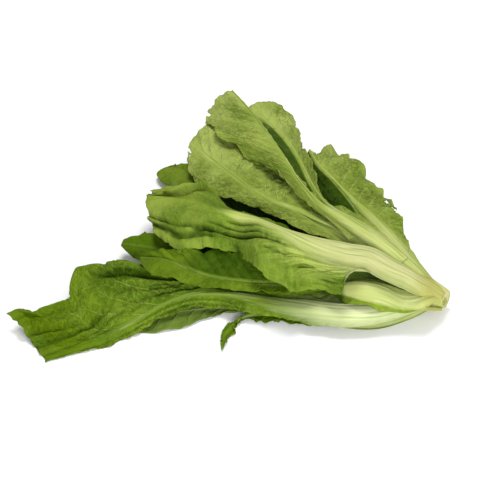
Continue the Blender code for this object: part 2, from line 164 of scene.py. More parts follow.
def leaf(name, foot, route, stalk, thick, near, far, **more):
    """One leaf's sizes. Each list runs from the foot of the stalk to the tip of the leaf.

    foot: place of the foot on the crown's face, across (+ is near) and height
    route: points that the midrib passes through after it leaves the crown
    stalk, thick: half width and depth of the stalk and midrib
    near, far: width of the leaf from the midrib to its near and far edge
    near_rise, far_rise: degrees that each blade stands up from the stalk, and near_curl, far_curl
    the degrees that it bends further on its way to the edge
    ruffle, waves: height and number of the waves along the edges
    lobes, lobe_depth: number of notches in an edge and the share of the blade that they cut away
    bow: how far the near and the far edge stay behind the tip, as a share of the length
    back_up: True where the leaf shows the side that its midrib stands out of
    swell: how much wider and thicker the stalk is at the crown than in the solid
    vein_gap, lean: distance between side veins, and how far they run forward
    vein, pillow, pucker: heights of the side veins, of the blade between them and of its fine folds
    frill, teeth: height of the short waves at the edge and depth of its teeth
    slim, sink: shares by which the midrib is narrower and lower than the solid's towards the tip
    round_tip: how far the corners of the tip are drawn back, as a share of the length
    flat: how flat the back of the stalk is, 2 for round
    spread: how far the pale green of the stalk runs into the blade
    seen_mid, seen_near, seen_far: where the midrib and the edges are seen in the picture, as (share of
    the length, millimetres from its left, millimetres from its top, height added)
    holes: by side, (share of the length, share of the blade, half length, half width) of each gap
    folds: by side, (height, half width, (length share, blade share) of each point that it runs through).
    A half width below 0 is for a fold with its steep side towards the midrib
    finer: sizes that are other than the solid's
    edge_pull: how much more the edges are moved than the blade beside the midrib, 1 for evenly
    joint: place of the shallow groove across the stalk, as a share of the length
    rib_end: how far up the leaf the midrib stays paler than the blade
    pale_to: how far up the leaf the pale colour of the stalk has faded into that of the midrib
    turned: how far up the leaf the round back of the stalk is the side that shows
    shaded: (side, length shares of both ends, strength) of the blade that gets painted shade, where it lies
    in the dark of a bowl
    """
    sizes = dict(
        near_rise=(0,), near_curl=(0,), far_rise=(0,), far_curl=(0,), ruffle=4, waves=3.0, lobes=9,
        bow=(0.06, 0.06), rows=23, back_up=False,
        swell=(3.5, 3.5), vein_gap=15.0, lean=1.9, vein=0.45, pillow=1.5, pucker=1.5, frill=1.2, teeth=1.2,
        round_tip=0.0, slim=0.72, sink=0.65, tone="back", under="face", flat=2.0, spread=10.0, holes={},
        folds={}, finer={}, seen_mid=(), seen_near=(), seen_far=(), turned=0.0, shaded=(), rib_end=1.3,
        edge_pull=1.0, joint=0.0, pale_to=0.5, fine=False, stalk_shares=SOLID_STALK_SHARES,
        near_shares=SOLID_BLADE_SHARES, far_shares=SOLID_BLADE_SHARES,
    )
    sizes.update(more)
    return dict(name=name, foot=foot, route=route, stalk=stalk, thick=thick, near=near, far=far, **sizes)


LOW_STALK = dict(stalk=[5.2, 8, 7, 4, 2.5, 1.5], thick=[3.2, 6, 5, 3, 2, 1.2])
UPPER_STALK = dict(stalk=[5.2, 8, 7, 4, 2.6, 1.5], thick=[3.2, 7, 6, 4, 2.4, 1.4])

# In the order in which they are laid down.
LEAVES = [
    leaf(
        "leaf_under_far", (-8, 4), [(80, 34, 4), (20, 68, 4), (-45, 102, 6), (-93, 113, 6)], **LOW_STALK,
        near=[6.6, 11, 24, 34, 36, 32, 22], far=[6.6, 11, 24, 32, 30, 22, 14], near_rise=[0, 4, 8, 8],
        near_curl=[10], far_rise=[0, 4, 8, 8], far_curl=[0, 5, 10, 10], ruffle=6, lobe_depth=0.22,
        tone="tip", under="shade", shaded=[("whole", 0.0, 0.8, 2.2)], rib_end=0.8,
        seen_mid=[(-0.1, 440, 296), (0, 421, 293), (0.27, 361, 248), (0.55, 268, 202), (1, 157, 173)],
        seen_near=[(0.27, 345, 262), (0.36, 324, 256), (0.46, 306, 250), (0.55, 284, 244), (0.64, 256, 236),
            (0.73, 233, 222), (0.82, 211, 212), (0.91, 190, 203), (1, 170, 188)],
        round_tip=0.02,
    ),
    leaf(
        "leaf_under_near", (6.5, 4),
        [(110, -114, -2), (50, -97, -2), (-10, -93, 0), (-70, -105, 3), (-113, -119, -1)],
        stalk=[5.2, 8, 9, 7, 4, 2], thick=[3.2, 6, 6, 4, 2, 1.2], near=[6.6, 10, 10, 10, 12, 12, 8],
        far=[6.6, 12, 20, 30, 30, 24, 12], near_rise=[-4], near_curl=[-10], far_rise=[5], ruffle=3,
        waves=2.5, lobes=8, lobe_depth=0.1, back_up=True, tone="shade", frill=0.3, teeth=0.3,
        finer=dict(lobe_depth=0.02, ruffle=1.0),
        seen_mid=[(-0.1, 440, 300), (0, 424, 303), (0.25, 355, 322), (0.5, 283, 312), (0.75, 210, 308),
            (1, 137, 322)],
        seen_near=[(0.55, 265, 313), (0.62, 245, 312), (0.7, 222, 314), (0.78, 202, 319), (0.86, 183, 327),
            (0.93, 160, 332), (1, 138, 333)],
    ),
    leaf(
        "leaf_torn", (17.6, 5.5),
        [(100, -120, 3), (50, -111, 3), (12, -105, 3), (-10, -111, 3), (-24, -132, 2), (-28, -158, 2)],
        stalk=[2.6, 3, 3, 2, 1.4, 1], thick=[2.6, 3, 3, 2, 1.4, 1.2], near=[3.9, 5, 5, 7, 10, 5, 4],
        far=[3.9, 5, 6, 9, 11, 6, 4], near_rise=[-5], near_curl=[-10], far_rise=[5], far_curl=[10],
        ruffle=2, lobes=8, lobe_depth=0.5, bow=(0.05, 0.05), back_up=True, rows=19, tone="deep", teeth=4.0,
        frill=1.0, swell=(1, 1), pillow=0.6,
        finer=dict(near=[3.9, 5, 5, 5, 6, 8, 10, 2.5, 7, 2.5], far=[3.9, 5, 5, 6, 7, 9, 11, 2.5, 5, 2.5]),
        round_tip=0.05,
    ),
    leaf(
        "leaf_low_mid", (1.5, 14.8),
        [(80, -53, 18), (10, -39, 20), (-50, -29, 20), (-100, -17, 18), (-128, -7, 15)], **LOW_STALK,
        near=[6.6, 10, 16, 18, 20, 20, 16], far=[6.6, 10, 18, 20, 22, 20, 16], near_rise=[-4],
        far_rise=[15], far_curl=[20], lobe_depth=0.2, tone="deep",
        seen_near=[(0.6, 206, 268), (0.75, 170, 268), (0.9, 137, 266), (1, 118, 261)],
        shaded=[("whole", 0.04, 0.5, 1.3)],
    ),
    leaf(
        "leaf_far_right", (-15, 9.4),
        [(145, -26, 22), (121, 10, 28), (96, 53, 30), (75, 90, 28), (61, 132, 24)],
        stalk=[5.2, 9, 8, 4.5, 2.8, 1.6], thick=[3.2, 7, 6, 4, 2.4, 1.4],
        near=[6.6, 11, 18, 24, 26, 22, 12], far=[6.6, 14, 28, 42, 50, 48, 30], near_rise=[0, -12, -40, -42],
        near_curl=[-10], far_rise=[-6], far_curl=[-12], waves=2.6, lobes=8, lobe_depth=0.14,
        bow=(0.03, 0.03), back_up=True,
        seen_mid=[(-0.1, 440, 294), (0, 425, 283), (0.09, 410, 266), (0.18, 396, 249), (0.27, 382, 233),
            (0.36, 369, 218), (0.46, 356, 204), (0.55, 345, 192), (0.73, 325, 171), (1, 310, 149)],
        seen_far=[(0.09, 419, 262), (0.18, 412, 250), (0.27, 407, 236), (0.36, 402, 224), (0.46, 397, 209),
            (0.55, 389, 194), (0.64, 376, 181), (0.73, 364, 167), (0.82, 350, 160), (0.88, 337, 154),
            (0.9, 332, 139), (0.92, 327, 155), (1, 320, 156)],
        shaded=[("near", 0.36, 1.1, 1.8)],
        holes=dict(far=[(0.53, 0.9, 2.2, 1.5), (0.5, 0.86, 1.6, 2.0), (0.475, 0.93, 2.6, 1.3),
            (0.455, 0.88, 1.3, 1.5), (0.435, 0.92, 2.2, 1.1)]),
    ),
    leaf(
        "leaf_long_near", (13, 9.4),
        [(125, -113, 14), (75, -114, 16), (20, -104, 18), (-21, -92, 20), (-55, -93, 21), (-85, -104, 19),
            (-120, -129, 13), (-155, -149, 6), (-205, -170, 0)],
        stalk=[5.2, 12, 11, 6, 3.4, 2], thick=[3.2, 8, 7, 5, 3, 1.6], near=[6.6, 14, 16, 16, 14, 14, 10],
        far=[6.6, 15, 24, 42, 62, 68, 56], near_rise=[0, -30, -45, -45], near_curl=[-30], far_rise=[10],
        far_curl=[14], ruffle=6, waves=3.2, lobes=10, lobe_depth=0.1, bow=(0.02, -0.04), rows=27,
        tone="face", vein_gap=24.0, lean=2.6, flat=3.0, spread=16.0, pillow=2.2, pucker=2.2, teeth=2.2,
        seen_mid=[(-0.1, 441, 300), (0, 420, 301), (0.08, 397, 306), (0.15, 370, 311), (0.23, 335, 312),
            (0.31, 301, 307), (0.46, 241, 296), (0.62, 180, 297), (0.77, 128, 324), (1, 45, 358)],
        seen_far=[(0.08, 398, 301), (0.15, 374, 299), (0.23, 343, 296), (0.31, 303, 288), (0.38, 275, 284),
            (0.46, 250, 279), (0.54, 205, 270), (0.62, 155, 263), (0.69, 118, 263), (0.775, 84, 265),
            (0.795, 75, 267), (0.806, 71, 276), (0.83, 68, 289), (0.85, 65, 297), (0.88, 52, 303),
            (0.92, 38, 307), (0.96, 21, 308), (0.98, 17, 311), (1, 9, 314)],
        folds=dict(far=[(-5.0, 0.2, (0.36, 0.66), (0.5, 0.62), (0.62, 0.72), (0.76, 0.88)),
            (-7.0, 0.07, (0.4, 0.6), (0.5, 0.52), (0.6, 0.58), (0.7, 0.76), (0.8, 0.84)),
            (3.0, 0.08, (0.56, 0.78), (0.66, 0.88), (0.8, 0.96)),
            (-3.0, 0.05, (0.5, 0.24), (0.62, 0.2), (0.76, 0.26), (0.9, 0.3)),
            (-2.2, 0.04, (0.56, 0.38), (0.66, 0.42), (0.78, 0.54), (0.9, 0.6)),
            (-4.0, 0.07, (0.76, 0.36), (0.88, 0.32), (1.1, 0.25)),
            (5.0, -0.16, (0.7, 0.5), (0.8, 0.56), (0.9, 0.56), (1.1, 0.7)),
            (-3.0, 0.05, (0.82, 0.44), (0.92, 0.5), (1.1, 0.52)),
            (-2.0, 0.03, (0.84, 0.84), (0.92, 0.84), (1.1, 0.88)),
            (-2.6, 0.036, (0.68, 0.13), (0.78, 0.2), (0.88, 0.15), (0.96, 0.18)),
            (2.2, 0.035, (0.7, 0.2), (0.82, 0.28), (0.94, 0.2)),
            (-2.6, 0.03, (0.76, 0.07), (0.88, 0.09), (1.1, 0.05)),
            (-2.2, 0.04, (0.58, 0.3), (0.66, 0.34), (0.74, 0.46), (0.78, 0.56)),
            (2.0, 0.04, (0.56, 0.46), (0.66, 0.5), (0.74, 0.62)),
            (-2.0, 0.035, (0.88, 0.38), (0.96, 0.4), (1.1, 0.36))],
            near=[(-2.4, 0.1, (0.44, 0.34), (0.56, 0.36), (0.66, 0.32), (0.78, 0.2)),
            (1.6, 0.09, (0.46, 0.52), (0.6, 0.54), (0.74, 0.42)),
            (-2.4, 0.1, (0.42, 0.72), (0.56, 0.74), (0.7, 0.64), (0.84, 0.48)),
            (-2.5, 0.12, (0.8, 0.5), (0.88, 0.45), (1.1, 0.5))]),
        turned=0.42, under="shade", sink=0.3, rib_end=0.85, pale_to=0.42, shaded=[("far", 0.3, 0.62, 1.35)],
    ),
    leaf(
        "leaf_low_back", (4.5, 20.2), [(80, -48, 30), (10, -27, 34), (-45, -11, 30), (-98, 9, 24)],
        **LOW_STALK, near=[6.6, 10, 16, 20, 22, 20, 12], far=[6.6, 10, 18, 24, 26, 22, 14], near_rise=[-25],
        near_curl=[-15], far_rise=[8], far_curl=[5], lobe_depth=0.15, tone="deep",
        shaded=[("whole", 0.04, 0.5, 1.3)], round_tip=0.05,
    ),
    leaf(
        "leaf_upper_right", (-12.5, 14.8),
        [(135, -28, 33), (100, 12, 36), (65, 40, 38), (42, 92, 36), (22, 152, 32), (16, 198, 27)],
        **UPPER_STALK, near=[6.6, 10, 14, 18, 22, 24, 16], far=[6.6, 10, 14, 18, 26, 32, 26],
        near_rise=[-10], far_rise=[-12], far_curl=[-10], waves=2.6, lobes=8, lobe_depth=0.1,
        bow=(0.04, 0.04), back_up=True,
        seen_mid=[(-0.1, 440, 294), (0, 421, 281), (0.09, 403, 264), (0.18, 386, 248), (0.27, 368, 234),
            (0.36, 351, 222), (0.46, 334, 211), (0.55, 319, 196), (0.64, 309, 179), (0.73, 301, 162),
            (0.82, 289, 143), (0.88, 278, 130), (0.94, 266, 118), (1, 258, 101)],
        seen_far=[(0.46, 330, 200), (0.55, 319, 184), (0.64, 312, 167), (0.73, 306, 150), (0.82, 303, 135),
            (0.91, 298, 119), (1, 285, 105)],
        shaded=[("near", 0.42, 0.99, 1.35)],
    ),
    leaf(
        "leaf_upper_left", (-9, 20.2),
        [(125, -37, 40), (90, -8, 42), (50, 10, 41), (12, 34, 38), (-28, 89, 32), (-60, 141, 24)],
        **UPPER_STALK, near=[6.6, 10, 16, 26, 36, 38, 28], far=[6.6, 10, 16, 30, 40, 46, 42],
        near_rise=[-8], near_curl=[-10], far_rise=[-4], ruffle=5, waves=2.6, lobe_depth=0.12,
        bow=(0.04, 0.04), back_up=True,
        seen_mid=[(-0.1, 438, 294), (0, 416, 280), (0.09, 396, 264), (0.18, 375, 250), (0.27, 353, 239),
            (0.36, 329, 227), (0.46, 305, 215), (0.55, 280, 205), (0.64, 258, 195), (0.73, 240, 182),
            (0.82, 225, 170), (0.91, 208, 156), (1, 190, 141)],
        seen_near=[(0.3, 336, 243), (0.36, 318, 240), (0.41, 303, 233), (0.46, 288, 223), (0.55, 265, 211),
            (0.64, 243, 204), (0.73, 222, 198), (0.82, 202, 190), (0.91, 190, 176), (1, 187, 161)],
        seen_far=[(0.91, 234, 134), (1, 213, 124)], teeth=0.7, frill=0.8,
        holes=dict(near=[(1.0, 0.45, 7.0, 2.2), (0.985, 0.6, 2.6, 1.4)]),
    ),
    leaf(
        "leaf_upper_mid", (-7.5, 25.6),
        [(130, -42, 48), (95, -14, 52), (65, 13, 54), (42, 68, 50), (18, 134, 42), (0, 180, 34),
            (-17, 218, 26)],
        **UPPER_STALK, near=[6.6, 10, 12, 20, 40, 58, 44], far=[6.6, 10, 10, 10, 12, 12, 10],
        near_rise=[-8], near_curl=[-6], far_rise=[0, -30, -65, -65], far_curl=[-15], ruffle=5,
        lobe_depth=0.12, bow=(0.04, 0.04), back_up=True,
        seen_mid=[(-0.1, 439, 294), (0, 418, 278), (0.09, 399, 261), (0.18, 380, 246), (0.27, 359, 232),
            (0.36, 338, 218), (0.46, 317, 203), (0.55, 301, 184), (0.64, 288, 163), (0.73, 275, 144),
            (0.82, 261, 125), (0.91, 247, 107), (1, 232, 90)],
        seen_near=[(0.36, 309, 206), (0.46, 283, 181), (0.55, 262, 163), (0.64, 241, 151), (0.73, 219, 139),
            (0.82, 207, 125), (0.91, 205, 113), (1, 210, 101)],
        lean=1.1, vein_gap=13.0, joint=0.075,
    ),
    leaf(
        "leaf_scoop", (15.5, 14.8),
        [(100, -99, 28), (50, -96, 31), (-5, -85, 31), (-52, -71, 31), (-88, -54, 30), (-120, -45, 27)],
        stalk=[5.2, 8, 8, 5, 3, 1.6], thick=[3.2, 6, 5, 3, 2, 1.2], near=[6.6, 11, 10, 8, 10, 15, 14],
        far=[6.6, 11, 22, 36, 34, 24, 16], near_rise=[-6], near_curl=[-14], far_rise=[0, 30, 44, 44],
        far_curl=[10], ruffle=5, lobe_depth=0.16, bow=(0.05, 0.05), tone="bowl", slim=0.75,
        seen_mid=[(-0.1, 438, 298), (0, 412, 293), (0.15, 368, 284), (0.3, 327, 281), (0.5, 268, 283),
            (0.8, 190, 269), (1, 143, 260)],
        seen_far=[(0.46, 288, 262, -8), (0.55, 262, 257, -9), (0.64, 238, 252, -9), (0.73, 217, 249, -6),
            (0.82, 193, 249, -5), (0.91, 171, 247), (1, 149, 245)],
        shaded=[("far", 0.34, 0.88, 1.3)],
        seen_near=[(0.12, 380, 290), (0.2, 355, 290), (0.28, 330, 289), (0.36, 305, 291), (0.46, 279, 293),
            (0.55, 253, 292), (0.64, 229, 290), (0.73, 203, 287), (0.82, 181, 282), (0.91, 161, 278),
            (1, 143, 275)],
        round_tip=0.05,
    ),
    leaf(
        "leaf_heart", (7.5, 25.6),
        [(135, -102, 33), (115, -102, 37), (95, -100, 38), (60, -90, 38), (35, -83, 36)],
        stalk=[7, 11, 13, 10, 5], thick=[4, 10, 11, 8, 3], near=[8.4, 13, 15, 14, 8],
        far=[8.4, 13, 15, 13, 8], near_rise=[-10], near_curl=[-10], far_rise=[-10], ruffle=2, waves=2,
        lobes=5, lobe_depth=0.1, back_up=True, rows=15, tone="heart", frill=0.5, teeth=0.5, pillow=0.3,
        pucker=0.2,
        seen_mid=[(-0.1, 440, 299), (0, 422, 299), (0.14, 405, 300, -4), (0.29, 388, 296, -5),
            (0.43, 370, 292, -4), (0.57, 354, 289, -5), (0.71, 339, 287, -9), (1, 305, 281, -13)],
        shaded=[("whole", 0.6, 1.1, 1.1), ("near", 0.1, 0.8, 0.35)], slim=0.0, sink=0.0, spread=3.0,
        finer=dict(stalk=[7, 9, 11, 12.5, 12.5, 9.5, 4, 3, 2], thick=[4, 7, 9, 11, 11, 8, 3, 1.5, 1.2],
            near=[8.4, 12, 16, 19, 19, 16, 9, 7, 6], far=[8.4, 10.5, 12.5, 14, 14, 11, 6, 5, 4]),
        round_tip=0.05,
    ),
    leaf(
        "leaf_centre", (1, 31),
        [(138, -83, 54), (115, -74, 58), (85, -71, 61), (40, -53, 60), (0, -24, 58), (-30, -4, 52),
            (-65, 18, 44), (-103, 43, 32)],
        stalk=[9, 15, 15, 9, 5, 3, 1.6], thick=[4.6, 10, 9, 7, 4, 2, 1.2],
        near=[10.4, 17, 46, 58, 36, 38, 48, 38], far=[10.4, 16.4, 17, 15, 18, 30, 34, 28],
        near_rise=[0, -24, -34, -30, -22], near_curl=[-20], far_rise=[0, -25, -10, 15], far_curl=[-10],
        ruffle=5, waves=3.4, lobes=10, lobe_depth=0.2, bow=(0.04, 0.04), back_up=True, rows=27,
        tone="centre", lean=5.5, pillow=1.6, vein_gap=42.0, flat=3.0, spread=16.0, teeth=3.0, slim=0.1,
        pucker=0.5, sink=0.2, rib_end=0.74, edge_pull=1.35, pale_to=0.78,
        finer=dict(lobe_depth=0.04, ruffle=2.0, stalk=[9, 15, 15, 12, 7.5, 4, 1.6],
            near=[10.4, 15, 16, 17.5, 44, 57, 58, 52, 45, 44, 44, 44, 46, 45, 38]),
        seen_mid=[(-0.1, 440, 296), (0, 417, 286), (0.08, 399, 276), (0.15, 380, 266), (0.23, 358, 258),
            (0.31, 335, 253), (0.38, 311, 246), (0.46, 288, 237), (0.54, 268, 228), (0.62, 248, 220),
            (0.69, 228, 214), (1, 147, 200)],
        seen_near=[(0.14, 380, 277), (0.17, 368, 272), (0.2, 356, 271), (0.225, 346, 275), (0.25, 342, 284),
            (0.275, 342, 294), (0.31, 328, 293), (0.38, 308, 290), (0.43, 291, 293), (0.47, 283, 286),
            (0.5, 267, 279), (0.54, 259, 271, 2), (0.6, 247, 262, 3), (0.66, 236, 254, 4),
            (0.73, 218, 250, 5), (0.8, 200, 248, 5), (0.88, 180, 250, 5), (0.94, 165, 243, 2),
            (1, 152, 232)],
        seen_far=[(0.62, 250, 212), (0.69, 231, 207), (0.73, 220, 199), (0.77, 208, 187), (0.85, 192, 185),
            (0.92, 171, 186), (1, 150, 190)],
        folds=dict(near=[(-5.0, 0.045, (0.42, 0.14), (0.5, 0.26), (0.58, 0.44), (0.68, 0.56), (0.84, 0.66)),
            (-3.5, 0.035, (0.46, 0.1), (0.58, 0.28), (0.66, 0.36), (0.78, 0.46)),
            (-2.5, 0.03, (0.48, 0.04), (0.62, 0.12), (0.72, 0.18)),
            (2.5, -0.1, (0.45, 0.42), (0.52, 0.56), (0.6, 0.66), (0.75, 0.8), (1.0, 0.86)),
            (-2.5, 0.03, (0.41, 0.36), (0.47, 0.43), (0.57, 0.56)),
            (-6.0, 0.03, (0.33, 0.3), (0.37, 0.43), (0.43, 0.62)),
            (-5.5, 0.12, (0.7, 0.72), (0.85, 0.74), (1.1, 0.78)),
            (-3.0, 0.04, (0.7, 0.6), (0.85, 0.58), (1.1, 0.6)),
            (2.0, 0.05, (0.72, 0.68), (0.85, 0.66), (1.1, 0.68)),
            (1.6, 0.09, (0.78, 0.3), (0.9, 0.42), (1.1, 0.5)),
            (-1.4, 0.06, (0.8, 0.14), (0.88, 0.3), (0.94, 0.32)),
            (-3.0, 0.05, (0.24, 0.68), (0.29, 0.64), (0.38, 0.68)),
            (-1.6, 0.05, (0.27, 0.88), (0.36, 0.82), (0.44, 0.84)),
            (1.5, 0.05, (0.22, 0.1), (0.3, 0.3), (0.36, 0.75)),
            (1.5, 0.05, (0.28, 0.08), (0.4, 0.35), (0.46, 0.8)),
            (-1.5, 0.03, (0.25, 0.1), (0.31, 0.3), (0.37, 0.6), (0.43, 0.8)),
            (-1.5, 0.03, (0.34, 0.1), (0.45, 0.32), (0.52, 0.7)),
            (2.0, -0.12, (0.36, 0.5), (0.43, 0.62), (0.52, 0.86)),
            (1.6, -0.1, (0.26, 0.4), (0.32, 0.56), (0.4, 0.86))], far=[(3.0, 0.3, (0.7, 0.6), (1.1, 0.5)),
            (6.0, -0.12, (0.72, 0.98), (0.8, 0.84), (0.88, 0.62), (0.94, 0.3), (1.1, -0.4)),
            (-5.0, 0.09, (0.74, 0.84), (0.82, 0.66), (0.88, 0.42), (0.93, 0.1))]),
    ),
]

for seed, sizes in enumerate(LEAVES, 1):
    sizes["seed"] = seed


def unit(vectors):
    return vectors / np.maximum(np.linalg.norm(vectors, axis=-1, keepdims=True), 1e-9)


def ease(t):
    """0 to 1 with a level start and end."""
    t = np.clip(t, 0, 1)
    return t * t * (3 - 2 * t)


def grown(s, stretch):
    """0 to 1 over a stretch of the leaf."""
    return np.clip((s - stretch[0]) / stretch[1], 0, 1)


def bell(distance, half_width):
    """1 on a line, and soon 0 away from it."""
    return np.exp(-((distance / half_width) ** 2))


def hermite(f, start, end, start_slope, end_slope):
    """Smooth run from start to end, as f goes from 0 to 1."""
    return (
        start * (2 * f**3 - 3 * f**2 + 1) + start_slope * (f**3 - 2 * f**2 + f)
        + end * (3 * f**2 - 2 * f**3) + end_slope * (f**3 - f**2)
    )


def smooth(at, values, where):
    """Smooth curve through values set at the places at, read at where. Values may be rows of a grid."""
    slope = np.gradient(values, at, axis=0)
    i = np.clip(np.searchsorted(at, where, side="right") - 1, 0, len(at) - 2)
    step = at[i + 1] - at[i]
    f = (where - at[i]) / step
    if values.ndim > 1:
        step, f = step[:, None], f[:, None]
    return hermite(f, values[i], values[i + 1], slope[i] * step, slope[i + 1] * step)


def along(values, s):
    """Reads a list that is spread evenly from the foot, s = 0, to the tip, s = 1."""
    values = np.asarray(values, float)
    s = np.clip(np.asarray(s, float), 0, 1)
    if len(values) == 1:
        return np.full(s.shape, values[0])
    return smooth(np.linspace(0, 1, len(values)), values, s)


def walked_along(points, power=1.0):
    """Distance walked to each point of a line, with each step raised to a power."""
    steps = np.linalg.norm(np.diff(points, axis=0), axis=1)
    return np.concatenate([[0], np.cumsum(steps**power)])


def four_corners(corners, a, b):
    """Value between four corners: a runs from the first to the second, b from the first to the third."""
    p, q, r, t = corners
    return p * (1 - a) * (1 - b) + q * a * (1 - b) + r * (1 - a) * b + t * a * b


def speckle(seed, x, y):
    """Smooth random hills of about one unit across, from -1 to 1."""
    x, y = np.asarray(x, float), np.asarray(y, float)
    i0, j0 = int(np.floor(x.min())) - 1, int(np.floor(y.min())) - 1
    ni, nj = int(np.ceil(x.max())) - i0 + 3, int(np.ceil(y.max())) - j0 + 3
    heights = np.random.default_rng(seed).uniform(-1, 1, (ni, nj))
    i, j = np.floor(x).astype(int) - i0, np.floor(y).astype(int) - j0
    corners = (heights[i, j], heights[i + 1, j], heights[i, j + 1], heights[i + 1, j + 1])
    return four_corners(corners, ease(x - np.floor(x)), ease(y - np.floor(y)))


def crown_axes():
    """Unit vectors out of the crown's face and across it, to the near side."""
    turn = math.radians(CROWN_HEADING)
    ahead = np.array([math.cos(turn), math.sin(turn), 0])
    across = np.array([-math.sin(turn), math.cos(turn), 0])
    return ahead, across


def crown_size(t, at_face):
    """Half width or height of the crown, t = 0 at its cut end and t = 1 at its face."""
    return CUT_RADIUS + (at_face - CUT_RADIUS) * np.sin(math.pi / 2 * t)


def on_crown(s):
    """How much narrower the stalks get as they run back over the crown."""
    return crown_size(np.clip(1 - s / BACK_ON_CROWN, 0, 1), FACE_HALF_WIDTH) / FACE_HALF_WIDTH


def midrib(sizes, s):
    """Points of the midrib at s. Past s = 1 it runs straight on, for edges that reach past the tip.

    On a fine leaf it also runs back over the crown: s = BACK_ON_CROWN is at the cut end.
    """
    ahead, across = crown_axes()
    side, height = sizes["foot"]
    if sizes["fine"]:
        knots = sizes["route"]
        for t in CROWN_KNOTS:
            centre = CUT_END + (FACE - CUT_END) * t
            wide, tall = crown_size(t, FACE_HALF_WIDTH), crown_size(t, FACE_HALF_HEIGHT)
            up = (height - FACE[2]) * tall / FACE_HALF_HEIGHT
            knots = [centre + side * wide / FACE_HALF_WIDTH * across + up * UP, *knots]
    else:
        seat = FACE * (1, 1, 0) + side * across + SEAT_GAP * ahead + height * UP
        knots = [seat, seat + STRAIGHT_FOOT * ahead, *sizes["route"]]
    knots = np.array(knots, float)
    knots = np.vstack([knots, 2 * knots[-1] - knots[-2]])
    at = walked_along(knots, 0.5)
    fine = np.linspace(0, at[-1], CURVE_STEPS)
    curve = np.stack([smooth(at, knots[:, k], fine) for k in range(3)], axis=-1)
    walked = walked_along(curve)
    stop = np.interp(at[-2], fine, walked)
    if sizes["fine"]:
        walked = (walked - CROWN_LENGTH) / (stop - CROWN_LENGTH)
        s = np.where(s < 0, s * (walked[0] / BACK_ON_CROWN), s)
    else:
        walked = walked / stop
    return np.stack([np.interp(s, walked, curve[:, k]) for k in range(3)], axis=-1)


def length_of(sizes):
    line = midrib(sizes, np.linspace(0, 1, CURVE_STEPS))
    return np.linalg.norm(np.diff(line, axis=0), axis=1).sum()


def ragged(sizes, s, length, side):
    """Millimetres that the toothed edge stands out or in from its even line."""
    x = s * length
    seed = 40 * sizes["seed"] + (1 if side == "far" else 2)
    shift = speckle(seed, x / TOOTH_DRIFT, 0 * x) * 0.9
    tooth = np.abs(np.sin(math.pi * (x / TOOTH + shift))) ** 0.8
    depth = np.clip(0.1 + 0.8 * speckle(seed + 7, x / TOOTH_GROUP, 0 * x), 0, 1)
    broad = speckle(seed + 13, x / BITE, 0 * x)
    return sizes["teeth"] * (tooth - 1) * depth + BITE_DEPTH * broad


def columns(sizes, s, phase, length):
    """Distance of each grid column from the midrib along each row: far side below 0, near side above."""
    stalk = along(sizes["stalk"], s)
    if sizes["fine"]:
        stalk = stalk * (1 - sizes["slim"] * ease(grown(s, STALK_SLIMS)))
        stalk = (stalk + sizes["swell"][0] * (1 - ease(s / FOOT_END))) * on_crown(s)
    sides = []
    for side, shift in (("far", phase[1]), ("near", phase[0])):
        width = np.maximum(along(sizes[side], s), stalk + SKIRT)
        lobe = np.abs(np.sin(math.pi * sizes["lobes"] * s + shift)) ** 0.6
        late = grown(s, LOBES_GROW)
        cut = sizes["lobe_depth"] * late * (1 - lobe)
        shares = np.array(sizes[side + "_shares"])
        if sizes["fine"]:
            narrowest = np.where(late > 0, NARROWEST_BLADE, 0.3)
            even = np.maximum((width - stalk) * np.where(s < 0, 0, 1), narrowest)
            edge = np.maximum(even * (1 - cut) + ragged(sizes, s, length, side) * late, narrowest)
            blade = even[:, None] * shares + (edge - even)[:, None] * shares**3
        else:
            blade = np.maximum((width - stalk) * (1 - cut), NARROWEST_BLADE)[:, None] * shares
        inner = stalk[:, None] * np.array(sizes["stalk_shares"])
        sides.append(np.concatenate([inner, stalk[:, None] + blade], axis=1))
    far, near = sides
    return np.concatenate([-far[:, :0:-1], near], axis=1), stalk


